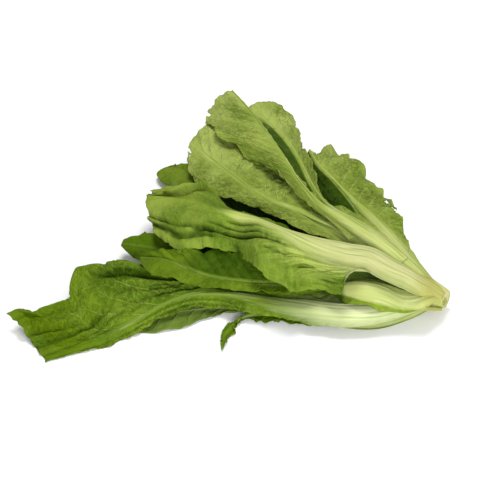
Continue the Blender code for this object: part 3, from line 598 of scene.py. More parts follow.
def leaf_surface(sizes):
    """Middle surface of a leaf as a grid of points, with what its skins are worked out from."""
    s = np.linspace(0, 1, sizes["rows"])
    lowest = 0
    if sizes["fine"]:
        lowest = BACK_ON_CROWN
        s = np.concatenate([np.linspace(BACK_ON_CROWN, 0, CROWN_ROWS)[:-1], s])
    phase = np.random.default_rng(sizes["seed"]).uniform(0, 2 * math.pi, 6)
    length = length_of(sizes)
    reach, stalk = columns(sizes, s, phase, length)
    widest = np.maximum(np.abs(reach[:, :1]), np.abs(reach[:, -1:]))
    bow = np.where(reach > 0, *sizes["bow"]) * np.clip(s[:, None], 0, 1) ** 3
    share = reach / widest
    place = s[:, None] - bow * share**2
    if sizes["fine"]:
        notch = speckle(sizes["seed"] + 300, reach / NOTCH, 0 * reach)
        notch = notch + 0.7 * speckle(sizes["seed"] + 310, reach / SMALL_NOTCH, 0 * reach)
        back = sizes["round_tip"] * np.abs(share) ** 2.4 + notch * sizes["teeth"] / length
        place = place - ease(grown(s[:, None], TIP_ROUNDS)) * back
    place = np.clip(place, lowest, FURTHEST)
    points = midrib(sizes, place)
    before = midrib(sizes, np.maximum(place - ON_EITHER_SIDE, lowest))
    ahead = unit(midrib(sizes, place + ON_EITHER_SIDE) - before)
    near = unit(np.cross(np.broadcast_to(UP, ahead.shape), ahead))
    above = np.cross(ahead, near)
    middle = len(sizes["stalk_shares"]) + len(sizes["far_shares"]) - 1
    on_stalk = np.zeros(2 * len(sizes["stalk_shares"]) - 1)
    shares = np.concatenate([sizes["far_shares"][::-1], on_stalk, sizes["near_shares"]])
    for sign, side, count in ((1, "near", reach.shape[1] - middle), (-1, "far", middle + 1)):
        edge = np.abs(reach[:, -1 if sign > 0 else 0])
        out, up = np.zeros(len(s)), np.zeros(len(s))
        for k in range(1, count):
            j = middle + sign * k
            inner = np.abs(reach[:, j - sign])
            step = np.abs(reach[:, j]) - inner
            half = inner + step / 2
            rise = along(sizes[side + "_rise"], s) * ease(half / stalk)
            over_blade = np.clip((half - stalk) / np.maximum(edge - stalk, 0.1), 0, 1)
            angle = np.radians(rise + along(sizes[side + "_curl"], s) * over_blade) * ease(s / FOOT_END)
            out = out + step * np.cos(angle)
            up = up + step * np.sin(angle)
            points[:, j] += sign * near[:, j] * out[:, None] + above[:, j] * up[:, None]
    made = dict(s=s, reach=reach, stalk=stalk, place=place, length=length, middle=middle, shares=shares)
    points = points + normals(points) * ruffle(sizes, made, widest, phase)[..., None]
    return points, made


def ruffle(sizes, made, widest, phase):
    """Waves that grow from the midrib to the edges."""
    reach, stalk = made["reach"], made["stalk"][:, None]
    share = np.clip((np.abs(reach) - stalk) / np.maximum(widest - stalk, 1), 0, 1)
    side = np.sign(reach)
    turns = 2 * math.pi * sizes["waves"] * made["place"]
    wave = np.sin(turns + phase[2] + side * phase[3])
    wave = wave + 0.5 * np.sin(1.7 * turns + phase[4] + side * phase[5])
    return sizes["ruffle"] * share**1.3 * grown(made["s"][:, None], WAVES_GROW) * wave


def flesh_of(sizes, made):
    """Depth of the stalk and midrib beyond the thickness of the blade."""
    s = made["s"]
    inside = np.clip(np.abs(made["reach"]) / made["stalk"][:, None], 0, 1)
    depth = np.maximum(along(sizes["thick"], s) - BLADE, 0)
    if not sizes["fine"]:
        return np.sqrt(1 - inside**2) * depth[:, None]
    depth = depth * (1 - sizes["sink"] * ease(grown(s, STALK_THINS)))
    depth = (depth + sizes["swell"][1] * (1 - ease(s / FOOT_END))) * on_crown(s)
    roundness = 0.5 + 0.9 * ease(grown(s[:, None], STALK_SLIMS))
    return (1 - inside ** sizes["flat"]) ** roundness * depth[:, None]


def normals(points):
    """Unit normals of a grid of points, up where the leaf lies flat."""
    return unit(np.cross(np.gradient(points, axis=0), np.gradient(points, axis=1)))


def readings(grid):
    """Every cell of a grid read at evenly spaced places across it."""
    t = np.linspace(0, 1, CELL_READINGS)
    a, b = (w.ravel() for w in np.meshgrid(t, t, indexing="ij"))
    if grid.ndim == 3:
        a, b = a[:, None], b[:, None]
    grid = np.expand_dims(grid, 2)
    return four_corners((grid[:-1, :-1], grid[1:, :-1], grid[:-1, 1:], grid[1:, 1:]), a, b)


def pile_cells(points):
    i = ((points[..., 0] - PILE_CORNER[0]) / CELL).astype(int)
    j = ((points[..., 1] - PILE_CORNER[1]) / CELL).astype(int)
    return np.clip(i, 1, PILE_CELLS[0] - 2), np.clip(j, 1, PILE_CELLS[1] - 2)


def neighbours(field, pick, axes=(0, 1)):
    """Takes the pick, such as the largest value, over each point and its neighbours in the grid."""
    for axis in axes:
        rim = [(1, 1) if k == axis else (0, 0) for k in (0, 1)]
        wide = np.pad(field, rim, mode="edge")
        size = field.shape[axis]
        field = pick([np.take(wide, range(k, k + size), axis) for k in range(3)], axis=0)
    return field


def lay_down(points, above, below, pile):
    """Raises the leaf where it would touch the pile or the floor, then adds it to the pile."""
    steep = np.clip(np.abs(normals(points)[..., 2]), STEEPEST, 1)
    under = pile[pile_cells(readings(points))]
    short = np.where(under > 0, under + CLEARANCE - readings(points[..., 2] - below / steep), 0)
    need = np.maximum(short.max(axis=2), 0)
    lift = np.zeros(points.shape[:2])
    for rows in (slice(None, -1), slice(1, None)):
        for cols in (slice(None, -1), slice(1, None)):
            lift[rows, cols] = np.maximum(lift[rows, cols], need)
    foot_lift = lift[0].max()
    lift = neighbours(neighbours(lift, np.max), np.mean)
    free = np.clip(np.linspace(0, 1, len(lift))[:, None] / LEVEL_FOOT, 0, 1)
    lift = free * lift + (1 - free) * foot_lift
    points = points.copy()
    on_floor = below / steep
    gap = points[..., 2] + lift - on_floor
    landing = np.clip(gap + SOFT_LANDING, 0, None) ** 2 / (4 * SOFT_LANDING)
    points[..., 2] = on_floor + np.where(gap > SOFT_LANDING, gap, landing)
    top = readings(points[..., 2] + above / steep)
    i, j = pile_cells(readings(points))
    for di in (-1, 0, 1):
        for dj in (-1, 0, 1):
            np.maximum.at(pile, (i + di, j + dj), top)
    return points


def solid_leaf(sizes, pile):
    """Lays the leaf down on the solid's own grid. Gives that grid, and how far each of its points rose."""
    points, made = leaf_surface(sizes)
    face_out, _ = crown_axes()
    points[0] -= ((points[0] - points[0, made["middle"]]) @ face_out)[:, None] * face_out
    flesh = flesh_of(sizes, made)
    thin = np.full_like(flesh, BLADE / 2)
    above, below = (thin + flesh, thin) if sizes["back_up"] else (thin, thin + flesh)
    laid = lay_down(points, above, below, pile)
    return laid, laid[..., 2] - points[..., 2]


def smooth_foot(points, risen, s, length, middle):
    """Height to add to each row so that the stalk rises from the cut end in one smooth arch."""
    height = points[:, middle, 2] + risen[:, middle]
    walked = np.where(s < 0, s / BACK_ON_CROWN * -CROWN_LENGTH, s * length)
    joined = int(np.searchsorted(walked, ARCH_LENGTH))
    start, stop = walked[0], walked[joined]
    slope = (height[joined + 3] - height[joined - 3]) / (walked[joined + 3] - walked[joined - 3])
    f = np.clip((walked - start) / (stop - start), 0, 1)
    rise = height[joined] - height[0]
    arch = hermite(f, height[0], height[joined], ARCH_START * rise, slope * (stop - start))
    return np.where(walked < stop, arch - height, 0)


def seen(points):
    """Where points of the layout are seen in the picture, from its left and its top."""
    down = PICTURE_MIDDLE - SEEN_DEPTH * points[..., 1] - SEEN_HEIGHT * points[..., 2]
    return np.stack([PICTURE_MIDDLE + points[..., 0], down], axis=-1)


def moves(wanted, s, line):
    """Moves, by row, that bring a line of points to where it is wanted in the picture."""
    wanted = np.array([(*row, 0) if len(row) == 3 else row for row in wanted], float)
    now = np.stack([np.interp(wanted[:, 0], s, seen(line)[:, k]) for k in (0, 1)], axis=-1)
    move = np.zeros((len(wanted), 3))
    move[:, 0] = wanted[:, 1] - now[:, 0]
    move[:, 2] = wanted[:, 3]
    move[:, 1] = (now[:, 1] - wanted[:, 2] - SEEN_HEIGHT * move[:, 2]) / SEEN_DEPTH
    return wanted[:, 0], move


def drawn_to(sizes, points, plain, made):
    """Moves the leaf so that its midrib and edges are seen where they should be."""
    if not sizes["seen_mid"]:
        return points
    s, middle, shares = made["s"], made["middle"], made["shares"]
    from_mid = np.arange(len(shares)) - middle
    at, move = moves(sizes["seen_mid"], s, plain[:, middle])
    mid_move = smooth(at, move, np.clip(s, at[0], at[-1]))
    out = points + mid_move[:, None]
    for side, edge, sign in (("seen_near", -1, 1), ("seen_far", 0, -1)):
        if not sizes[side]:
            continue
        at, move = moves(sizes[side], s, plain[:, edge])
        start = at[0] - EDGE_LEAD
        first = np.stack([np.interp(start, s, mid_move[:, k]) for k in range(3)])
        at, move = np.concatenate([[start], at]), np.vstack([first, move])
        edge_move = smooth(at, move, np.clip(s, start, at[-1]))
        edge_move = np.where((s > start)[:, None], edge_move, mid_move)
        for _ in range(2):
            edge_move = neighbours(edge_move, np.mean, axes=(0,))
        share = np.where(sign * from_mid > 0, shares, 0)
        out = out + share[:, None] ** sizes["edge_pull"] * (edge_move - mid_move)[:, None]
    return out


def fine_sizes(sizes):
    """The leaf's sizes on the fine grid."""
    fine = dict(sizes, fine=True, rows=int(length_of(sizes) / ROW_STEP) + 1)
    fine.update(sizes["finer"], stalk_shares=np.sin(np.linspace(0, math.pi / 2, STALK_STEPS)))
    for side in ("near", "far"):
        count = int(np.clip(max(sizes[side]) / COLUMN_STEP, FEWEST_COLUMNS, MOST_COLUMNS))
        fine[side + "_shares"] = np.linspace(0, 1, count + 1)[1:]
    return fine


def rise_of(fine, rises, points, made, length):
    """How far each point of the fine grid rises: as the solid's leaf did, with a smooth foot."""
    s = made["s"]
    on_stalk, on_blade = len(SOLID_STALK_SHARES) - 1, len(SOLID_BLADE_SHARES)
    far, near = (
        np.concatenate([on_stalk * fine["stalk_shares"], on_stalk + on_blade * fine[side + "_shares"]])
        for side in ("far", "near")
    )
    middle = on_stalk + on_blade
    steps = np.concatenate([middle - far[:0:-1], middle + near])
    by_row = smooth(np.linspace(0, 1, rises.shape[0]), rises, np.maximum(s, 0))
    risen = smooth(np.arange(rises.shape[1]).astype(float), by_row.T.copy(), steps).T
    walked = s * length
    evenly = bell(walked[:, None] - walked, EVEN_RUN)
    evenly = evenly / evenly.sum(axis=1, keepdims=True)
    risen = evenly @ risen * on_crown(s)[:, None]
    return risen + smooth_foot(points, risen, s, made["length"], made["middle"])[:, None]


def fold_height(sizes, g):
    """Long soft folds of the blade, up or down."""
    height = np.zeros(g.side.shape)
    for which, folds in sizes["folds"].items():
        here = (g.side > 0) if which == "near" else (g.side < 0)
        for tall, half_width, *path in folds:
            at, line = np.array(path).T
            off_line = g.share - np.interp(g.s, at, line)
            if half_width < 0:
                off_line = np.where(off_line < 0, off_line / STEEP_SIDE, off_line)
            ends = ease((g.s - at[0]) / FOLD_END) * ease((at[-1] - g.s) / FOLD_END)
            height = height + here * tall * ends * bell(off_line, half_width)
    return height


def creases(seed, g, size):
    return 1 - 2 * np.abs(speckle(seed, g.a / size[0], g.reach / size[1]))


def blade_relief(sizes, g):
    """Side veins and the soft forms of the blade between them, with how far the blade moves for these."""
    seed = sizes["seed"]
    lean = sizes["lean"] * (1 + 1.3 * (1 - ease(g.s / 0.45)))
    veins = (g.a - lean * g.off**0.8) / sizes["vein_gap"] + 0.5 * g.side * 0.37 + 10
    drift = speckle(seed + 400, g.a / VEIN_DRIFT[0] + 50 * g.side, g.off / VEIN_DRIFT[1])
    veins = veins + 0.28 * drift
    from_vein = np.abs(veins - np.round(veins))
    strength = 0.55 + 0.45 * speckle(seed + 410, np.round(veins) * 0.77, 0.5 * g.side)
    late = ease(grown(g.s, VEINS_GROW))
    rib = bell(from_vein, 0.09 - 0.04 * g.share) * (1 - 0.7 * g.share) * ease(g.off / 2) * late * strength
    pillow = np.sin(math.pi * from_vein) * ease(g.off / 6) * (1 - 0.35 * g.share) * late
    pillow = pillow * (0.4 + 0.6 * strength)
    bumps = creases(seed + 500, g, PUCKERS) + 0.5 * creases(seed + 510, g, SMALL_PUCKERS)
    pucker = bumps * ease(g.off / 7) * late
    frill_at = g.a / FRILL + 0.8 * speckle(seed + 520, g.a / FRILL_DRIFT, 0 * g.a)
    frill = np.sin(math.pi * frill_at + g.side) * g.share**3 * late
    swaying = speckle(seed + 530, g.a / SWAY[0], g.reach / SWAY[1]) * ease(g.off / 12) * late
    face_way = -1 if sizes["back_up"] else 1
    move = face_way * (sizes["pillow"] * pillow - sizes["pucker"] * 0.5 * pucker)
    move = move + sizes["frill"] * frill + SWAY_HEIGHT * swaying
    return veins, rib, pillow, pucker, move


def stalk_ridges(seed, g):
    """Ridges that run along the stalk with grooves between them, level at its sides."""
    wander = 0.9 * speckle(seed + 600, g.a / 60, 0 * g.a) + seed
    lines = g.reach / RIDGE_GAP + 0.35 * wander
    lines = lines + 0.12 * speckle(seed + 610, g.a / RIDGE_DRIFT[0], g.reach / RIDGE_DRIFT[1])
    small = g.reach / SMALL_RIDGE_GAP + wander
    cut = 0.65 + 0.6 * speckle(seed + 620, g.a / 34, np.round(lines) * 1.7)
    ridge = 0.8 - 1.7 * cut * bell(lines - np.round(lines), 0.2)
    ridge = ridge - 0.5 * bell(small - np.round(small), 0.24)
    return ridge * (1 - g.across**6)


def painted_shade_of(sizes, g, pillow, pucker, folded):
    """Painted shade of each place: more where the blade dips between the veins or into a fold, less on its
    bumps, and more over the stretches listed in shaded, which lie in the dark of a bowl.
    """
    dips = (1 if sizes["back_up"] else -1) * pillow * 0.6 - 0.5 * pucker
    painted_shade = np.clip(dips, -1, 1) * 0.5 + np.clip(-folded / 4, 0, 1.1)
    blade = ease(g.off / 3)
    parts = dict(near=(g.side > 0) * blade, far=(g.side < 0) * blade, whole=1)
    for which, s0, s1, strength in sizes["shaded"]:
        painted_shade = painted_shade + strength * parts[which] * ease((g.s - s0) / 0.1) * ease((s1 - g.s) / 0.1)
    return painted_shade


def fine_leaf(sizes, rises):
    """The finished leaf: a grid of points for each skin, and the marks that its colours are drawn from."""
    length = length_of(sizes)
    fine = fine_sizes(sizes)
    points, made = leaf_surface(fine)
    plain, _ = leaf_surface(dict(fine, teeth=0, lobe_depth=0, ruffle=0, round_tip=0))
    risen = rise_of(fine, rises, points, made, length)
    points[..., 2] += risen
    plain[..., 2] += risen
    points = drawn_to(fine, points, plain, made)

    # The grid as its forms see it: s up the leaf, and in millimetres a up it, reach across it, off the stalk.
    reach, stalk = made["reach"], made["stalk"][:, None]
    g = SimpleNamespace(
        s=made["s"][:, None], a=made["place"] * length, reach=reach, side=np.sign(reach),
        off=np.maximum(np.abs(reach) - stalk, 0), share=np.broadcast_to(made["shares"], reach.shape),
        across=np.clip(reach / stalk, -1, 1),
    )
    veins, rib, pillow, pucker, move = blade_relief(sizes, g)
    folded = fold_height(sizes, g)
    points = points + normals(points) * (move + folded)[..., None]

    flesh = flesh_of(fine, made)
    ridge = stalk_ridges(sizes["seed"], g)
    raised = ridge * np.clip(flesh / 5, 0, 1) * RIDGE_HEIGHT
    # How much painted shade each place gets, for the colours of the leaf.
    painted_shade = painted_shade_of(sizes, g, pillow, pucker, folded)
    if sizes["joint"]:
        # The joint's groove is sunk into the stalk and given painted shade.
        groove = bell(g.a - sizes["joint"] * length + 0.02 * reach**2, JOINT_WIDTH) * (g.off <= 0)
        painted_shade, raised = painted_shade + 0.9 * groove, raised - 0.8 * groove
    channel = np.clip(CHANNEL_DEPTH * flesh, 0, DEEPEST_CHANNEL) * (1 - g.across**2) - 0.5 * raised
    round_side = 1 - ease((g.s - sizes["turned"]) / 0.2) if sizes["turned"] else 0 * g.s
    channel = channel * (1 - round_side) - (0.75 * flesh + raised) * round_side
    back = FINE_BLADE / 2 + flesh + raised + sizes["vein"] * rib
    front = FINE_BLADE / 2 - channel - 0.2 * rib * sizes["vein"]
    out = normals(points)
    above, below = (back, front) if sizes["back_up"] else (front, back)
    upper = points + out * above[..., None]
    lower = points - out * below[..., None]
    upper[..., 2] = np.maximum(upper[..., 2], LOWEST_TOP)
    lower[..., 2] = np.maximum(lower[..., 2], 0)
    flat_place = np.stack([reach * MM, g.a * MM, np.full_like(g.a, 0.37 * sizes["seed"])], axis=-1)
    return upper, lower, dict(
        painted_shade=painted_shade, flat_place=flat_place, vein_count=veins, ridge=ridge, from_stalk=np.abs(reach) - stalk,
        to_edge=g.share, up_leaf=np.broadcast_to(g.s, g.a.shape),
    )


def kept_cells(sizes, marks):
    """Which cells of the leaf's grid are there: all but those in its holes."""
    reach, a = marks["flat_place"][..., 0] / MM, marks["flat_place"][..., 1] / MM
    share, s = marks["to_edge"], marks["up_leaf"]
    kept = np.ones(reach.shape, bool)
    for side, holes in sizes["holes"].items():
        here = (reach > 0) if side == "near" else (reach < 0)
        for s0, share0, half_long, half_wide in holes:
            row = int(np.argmin(np.abs(s[:, 0] - s0)))
            column = int(np.argmin(np.where(here[row], np.abs(share[row] - share0), 9)))
            da, dr = a - a[row, column], reach - reach[row, column]
            size = 1 + 0.35 * speckle(sizes["seed"] + 700, a / 2.5, reach / 2.5)
            kept &= ~(here & ((da / half_long) ** 2 + (dr / half_wide) ** 2 < size))
    return kept[:-1, :-1] & kept[1:, 1:]


def leaf_mesh(name, upper, lower, marks, kept):
    """Closes two skins into one body. kept says which cells of the grid are there, so it may have holes."""
    rows, cols = upper.shape[:2]
    count = rows * cols
    index = np.arange(count).reshape(rows, cols)
    vertices = np.concatenate([upper.reshape(-1, 3), lower.reshape(-1, 3)]) * MM
    a, b, c, d = index[:-1, :-1], index[1:, :-1], index[1:, 1:], index[:-1, 1:]
    top = np.stack([a[kept], b[kept], c[kept], d[kept]], axis=1)
    walls = []
    around = np.pad(kept, 1)
    for p, q, beside in (
        (a, d, around[:-2, 1:-1]), (c, b, around[2:, 1:-1]),
        (b, a, around[1:-1, :-2]), (d, c, around[1:-1, 2:]),
    ):
        p, q = p[kept & ~beside], q[kept & ~beside]
        walls.append(np.stack([p, q, q + count, p + count], axis=1))
    faces = np.concatenate([top, top[:, ::-1] + count, *walls])
    skins = 2 * len(top)
    mesh = bpy.data.meshes.new(name)
    mesh.vertices.add(len(vertices))
    mesh.vertices.foreach_set("co", vertices.astype(np.float32).ravel())
    mesh.loops.add(faces.size)
    mesh.loops.foreach_set("vertex_index", faces.astype(np.int32).ravel())
    mesh.polygons.add(len(faces))
    mesh.polygons.foreach_set("loop_start", np.arange(0, faces.size, 4, dtype=np.int32))
    mesh.polygons.foreach_set("use_smooth", np.arange(len(faces)) < skins)
    mesh.polygons.foreach_set("material_index", (np.arange(len(faces)) >= len(top)).astype(np.int32))
    for mark, values in marks.items():
        kind, field = ("FLOAT_VECTOR", "vector") if values.ndim == 3 else ("FLOAT", "value")
        flat = np.asarray(values, np.float32).reshape(count, -1)
        made = mesh.attributes.new(mark, kind, "POINT")
        made.data.foreach_set(field, np.concatenate([flat, flat]).ravel())
    mesh.update(calc_edges=True)
    mesh.validate()
    return mesh


def crown_mesh(name):
    """Stump with grooves between the stalks, running down to a small rough cut end."""
    ahead, across = crown_axes()
    turns = np.linspace(0, 2 * math.pi, CROWN_SIDES, endpoint=False)
    t = np.linspace(0, 1, CROWN_RINGS)[:, None]
    face = FACE + INTO_STALKS * ahead
    centre = CUT_END + (face - CUT_END) * t
    half_width = crown_size(t, FACE_HALF_WIDTH - SLIMMER_AT_FACE) - SLIMMER
    half_height = crown_size(t, FACE_HALF_HEIGHT - SLIMMER_AT_FACE) - SLIMMER
    square = 2 + 0.6 * t
    c, s = np.cos(turns), np.sin(turns)
    size = (np.abs(c) ** square + np.abs(s) ** square) ** (-1 / square)
    groove = np.abs(np.sin(4.5 * turns + 0.6 * np.sin(3 * turns) + 1.2 * t)) ** 0.5
    size = size * (1 - 0.09 * (1 - groove) * ease(t * 2.5))
    size = size * (1 + 0.02 * speckle(71, 6 * t + 0 * turns, turns * 3 + 0 * t))
    points = centre[:, None] + across * (half_width * size * c)[..., None]
    points = points + UP * (half_height * size * s)[..., None]
    points[..., 2] = np.maximum(points[..., 2], 0)
    ends = []
    for k in range(1, END_RINGS):
        f = 1 - k / END_RINGS
        ends.insert(0, CUT_END + (points[0] - CUT_END) * f + ahead * END_HOLLOW * (1 - f) ** 0.6)
    grid = np.concatenate([ends, points])
    count = len(grid) * CROWN_SIDES
    index = np.arange(count).reshape(len(grid), CROWN_SIDES)
    after = np.roll(index, -1, axis=1)
    faces = np.stack([index[:-1], index[1:], after[1:], after[:-1]], axis=-1).reshape(-1, 4).tolist()
    rims = (ring.tolist() for ring in (index[0], after[0], after[-1], index[-1]))
    for p, q, r, u in zip(*rims):
        faces += [(count, p, q), (count + 1, r, u)]
    vertices = np.concatenate([grid.reshape(-1, 3), [CUT_END + ahead * END_HOLLOW, face]]) * MM
    mesh = bpy.data.meshes.new(name)
    mesh.from_pydata(vertices.tolist(), [], faces)
    mesh.shade_smooth()
    end = np.zeros(count + 2, np.float32)
    end[:len(ends) * CROWN_SIDES] = np.repeat(np.linspace(1, 0.2, len(ends)), CROWN_SIDES)
    end[count] = 1
    mesh.attributes.new("cut_end", "FLOAT", "POINT").data.foreach_set("value", end)
    mesh.update()
    return mesh


class Wires:
    """Short forms for making nodes in one tree."""

    def __init__(self, tree):
        self.tree = tree

    def feed(self, value, socket):
        """Links another node's socket or sets a value. A colour gets its opacity here."""
        if isinstance(value, bpy.types.NodeSocket):
            self.tree.links.new(value, socket)
        else:
            socket.default_value = (*value, 1) if socket.type == "RGBA" else value

    def node(self, kind, inputs=(), **settings):
        """A new node, with its inputs fed in their order or by name."""
        made = self.tree.nodes.new(kind)
        for key, value in settings.items():
            setattr(made, key, value)
        for key, value in inputs.items() if isinstance(inputs, dict) else enumerate(inputs):
            self.feed(value, made.inputs[key])
        return made

    def math(self, operation, *values):
        return self.node("ShaderNodeMath", values, operation=operation).outputs[0]

    def times(self, a, b):
        return self.math("MULTIPLY", a, b)

    def plus(self, value, factor, other):
        return self.math("MULTIPLY_ADD", value, factor, other)

    def step(self, value, low, high, out_low=0.0, out_high=1.0):
        """Eased step: out_low where value is low, out_high where it is high."""
        values = (value, low, high, out_low, out_high)
        return self.node("ShaderNodeMapRange", values, interpolation_type="SMOOTHSTEP").outputs["Result"]

    def mix(self, share, a, b):
        return self.node("ShaderNodeMix", {0: share, 6: a, 7: b}, data_type="RGBA").outputs[2]

    def mark(self, name, output="Fac"):
        return self.node("ShaderNodeAttribute", attribute_name=name).outputs[output]

    def noise(self, place, scale, detail=3.0, roughness=0.5):
        values = {"Vector": place, "Scale": scale, "Detail": detail, "Roughness": roughness}
        return self.node("ShaderNodeTexNoise", values).outputs["Fac"]

    def walls(self, place, scale):
        """Distance to the walls between random cells."""
        values = {"Vector": place, "Scale": scale}
        made = self.node("ShaderNodeTexVoronoi", values, feature="DISTANCE_TO_EDGE", voronoi_dimensions="3D")
        return made.outputs["Distance"]

    def stretched(self, place, scale, start=(0.0, 0.0, 0.0)):
        values = {"Vector": place, "Scale": scale, "Location": start}
        return self.node("ShaderNodeMapping", values).outputs[0]

    def bump(self, height, strength, distance, shader):
        values = {"Height": height, "Strength": strength, "Distance": distance}
        self.feed(self.node("ShaderNodeBump", values).outputs[0], shader.inputs["Normal"])

    def give(self, **results):
        """Ends a group with one number for each result."""
        for label in results:
            self.tree.interface.new_socket(label, in_out="OUTPUT", socket_type="NodeSocketFloat")
        self.node("NodeGroupOutput", results)
        return self.tree


def group(name, inputs):
    """Starts a shader group that is given numbers, each with a usual value."""
    tree = bpy.data.node_groups.new(name, "ShaderNodeTree")
    for label, value in inputs.items():
        socket = tree.interface.new_socket(label, in_out="INPUT", socket_type="NodeSocketFloat")
        socket.default_value = value
    wires = Wires(tree)
    return wires, wires.node("NodeGroupInput").outputs


def new_material(name):
    material = bpy.data.materials.new(name)
    material.use_nodes = True
    return material, Wires(material.node_tree), material.node_tree.nodes["Principled BSDF"]


def vein_network():
    """Masks of the side veins, of the net between them and of fine creases, and the height of the veins."""
    w, given = group("vein_network", {"Vein Gap": 15.0, "Net Size": 0.006})
    place = w.mark("flat_place", "Vector")
    count, off, share = w.mark("vein_count"), w.mark("from_stalk"), w.mark("to_edge")
    distance = w.times(w.math("PINGPONG", count, 0.5), given["Vein Gap"])
    half = w.step(share, 0.0, 1.0, 1.5, 0.55)
    veins = w.math("SUBTRACT", 1.0, w.step(w.math("DIVIDE", distance, half), 0.15, 1.0))
    veins = w.times(veins, w.step(off, 0.0, 2.0))
    veins = w.times(veins, w.step(share, 0.55, 1.0, 1.0, 0.3))
    bend = w.node("ShaderNodeTexNoise", {"Vector": place, "Scale": 90.0}).outputs["Color"]
    bent = (bend, (0.004, 0.004, 0.0), place)
    bent = w.node("ShaderNodeVectorMath", bent, operation="MULTIPLY_ADD").outputs[0]
    cells = w.walls(bent, w.math("DIVIDE", 1.0, given["Net Size"]))
    small = w.walls(bent, w.math("DIVIDE", 2.6, given["Net Size"]))
    net = w.times(w.step(small, 0.02, 0.2, 1.0, 0.0), 0.45)
    net = w.math("MAXIMUM", w.step(cells, 0.02, 0.16, 1.0, 0.0), net)
    net = w.times(net, w.step(off, 1.0, 6.0))
    crease = w.noise(w.stretched(place, (0.75, 1.15, 1.0)), 210.0)
    crease = w.step(w.math("ABSOLUTE", w.math("SUBTRACT", crease, 0.5)), 0.0, 0.05, 1.0, 0.0)
    patchy = w.step(w.noise(place, 38.0, 1.0), 0.34, 0.56, 0.25, 1.0)
    crease = w.times(crease, w.times(patchy, w.step(off, 3.0, 12.0)))
    return w.give(Veins=veins, Net=net, Creases=crease, Height=w.plus(net, 0.5, veins))


def stalk_streaks():
    """Mask of the pale stalk as it fades into the blade, and the fine lines that run along it."""
    w, given = group("stalk_streaks", {"Spread": 9.0, "Fade From": 0.15, "Fade To": 0.5})
    off, s, place = w.mark("from_stalk"), w.mark("up_leaf"), w.mark("flat_place", "Vector")
    fade = (s, given["Fade From"], given["Fade To"])
    uneven = w.math("SUBTRACT", w.noise(place, 55.0, 2.0), 0.5)
    soft = w.plus(uneven, w.step(*fade, 6.0, 0.6), off)
    soft = w.math("DIVIDE", soft, w.step(*fade, given["Spread"], 2.2))
    streaks = w.noise(w.stretched(place, (1.0, 0.035, 1.0)), 420.0, 3.0, 0.6)
    fibres = w.noise(w.stretched(place, (1.0, 0.05, 1.0), (0.3, 0.0, 0.0)), 620.0, 2.0)
    stalk, paleness = w.step(soft, -0.6, 1.0, 1.0, 0.0), w.step(*fade, 1.0, 0.0)
    return w.give(Stalk=stalk, Streaks=streaks, Fibres=fibres, Paleness=paleness)


def blade_colour(w, tone, place, net):
    """Greens of the blade with its veins, its fine grain with painted light and shade, and the lines that fan
    out from the stalk.
    """
    painted_shade, to_edge = w.mark("painted_shade"), w.mark("to_edge")
    patches = w.step(w.noise(place, 22.0, 4.0, 0.6), 0.35, 0.65)
    blade = w.mix(patches, tone["blade"], tone["blade_light"])
    blade = w.mix(w.times(net["Net"], tone["net"]), blade, tone["vein"])
    blade = w.mix(w.times(net["Veins"], tone["veins"]), blade, tone["vein"])
    grain_and_shade = w.step(w.noise(place, 260.0, 3.0, 0.6), 0.3, 0.75, 0.86, 1.1)
    # Painted light and shade from the relief: lighter on the bumps of the blade, darker in its dips, and
    # darker still along the fine creases.
    grain_and_shade = w.times(grain_and_shade, w.step(painted_shade, -0.9, 0.3, 1.16, 0.94))
    grain_and_shade = w.times(grain_and_shade, w.math("ADD", w.times(net["Creases"], -0.12 * tone["creases"]), 1.0))
    scaled = {0: blade, "Scale": grain_and_shade}
    blade = w.node("ShaderNodeVectorMath", scaled, operation="SCALE").outputs[0]
    if tone["fan"]:
        off = w.mark("from_stalk")
        drawn = (w.times(w.mark("vein_count"), tone["vein_gap"] / 7), w.times(off, 0.05))
        drawn = w.node("ShaderNodeCombineXYZ", drawn).outputs[0]
        fan = w.step(w.noise(drawn, 1.0, 2.0), 0.36, 0.62, 0.0, tone["fan"])
        fan = w.times(fan, w.step(to_edge, 0.05, 0.95, 1.0, 0.0))
        fan = w.times(fan, w.step(off, 1.0, 9.0))
        fan = w.times(fan, w.step(w.mark("up_leaf"), 0.3, 0.72, 1.0, 0.0))
        blade = w.mix(fan, blade, tone["midrib"])
    blade = w.mix(w.step(to_edge, 0.9, 1.0, 0.0, 0.35), blade, tone["blade_light"])
    tip = w.step(w.mark("up_leaf"), 0.68, 0.95, 0.0, 0.8)
    return w.mix(w.times(tip, w.step(w.noise(place, 30.0), 0.3, 0.6)), blade, tone["tip"])


def stalk_colour(w, tone, streaks):
    """Pale greens of the stalk and the midrib with their lines, grooves and fibres."""
    pale = w.mix(streaks["Paleness"], tone["midrib"], tone["stalk"])
    lines = w.step(streaks["Streaks"], 0.38, 0.66, 0.0, 0.55)
    pale = w.mix(lines, pale, w.mix(0.5, pale, tone["stalk_line"]))
    groove = w.step(w.mark("ridge"), -0.8, 0.35, 0.65, 0.0)
    groove = w.times(groove, w.step(streaks["Paleness"], 0.0, 0.35, 0.1, 1.0))
    pale = w.mix(groove, pale, tone["stalk_line"])
    fibres = w.step(streaks["Fibres"], 0.55, 0.72, 0.0, 0.4)
    return w.mix(fibres, pale, w.mix(0.45, pale, FIBRE))


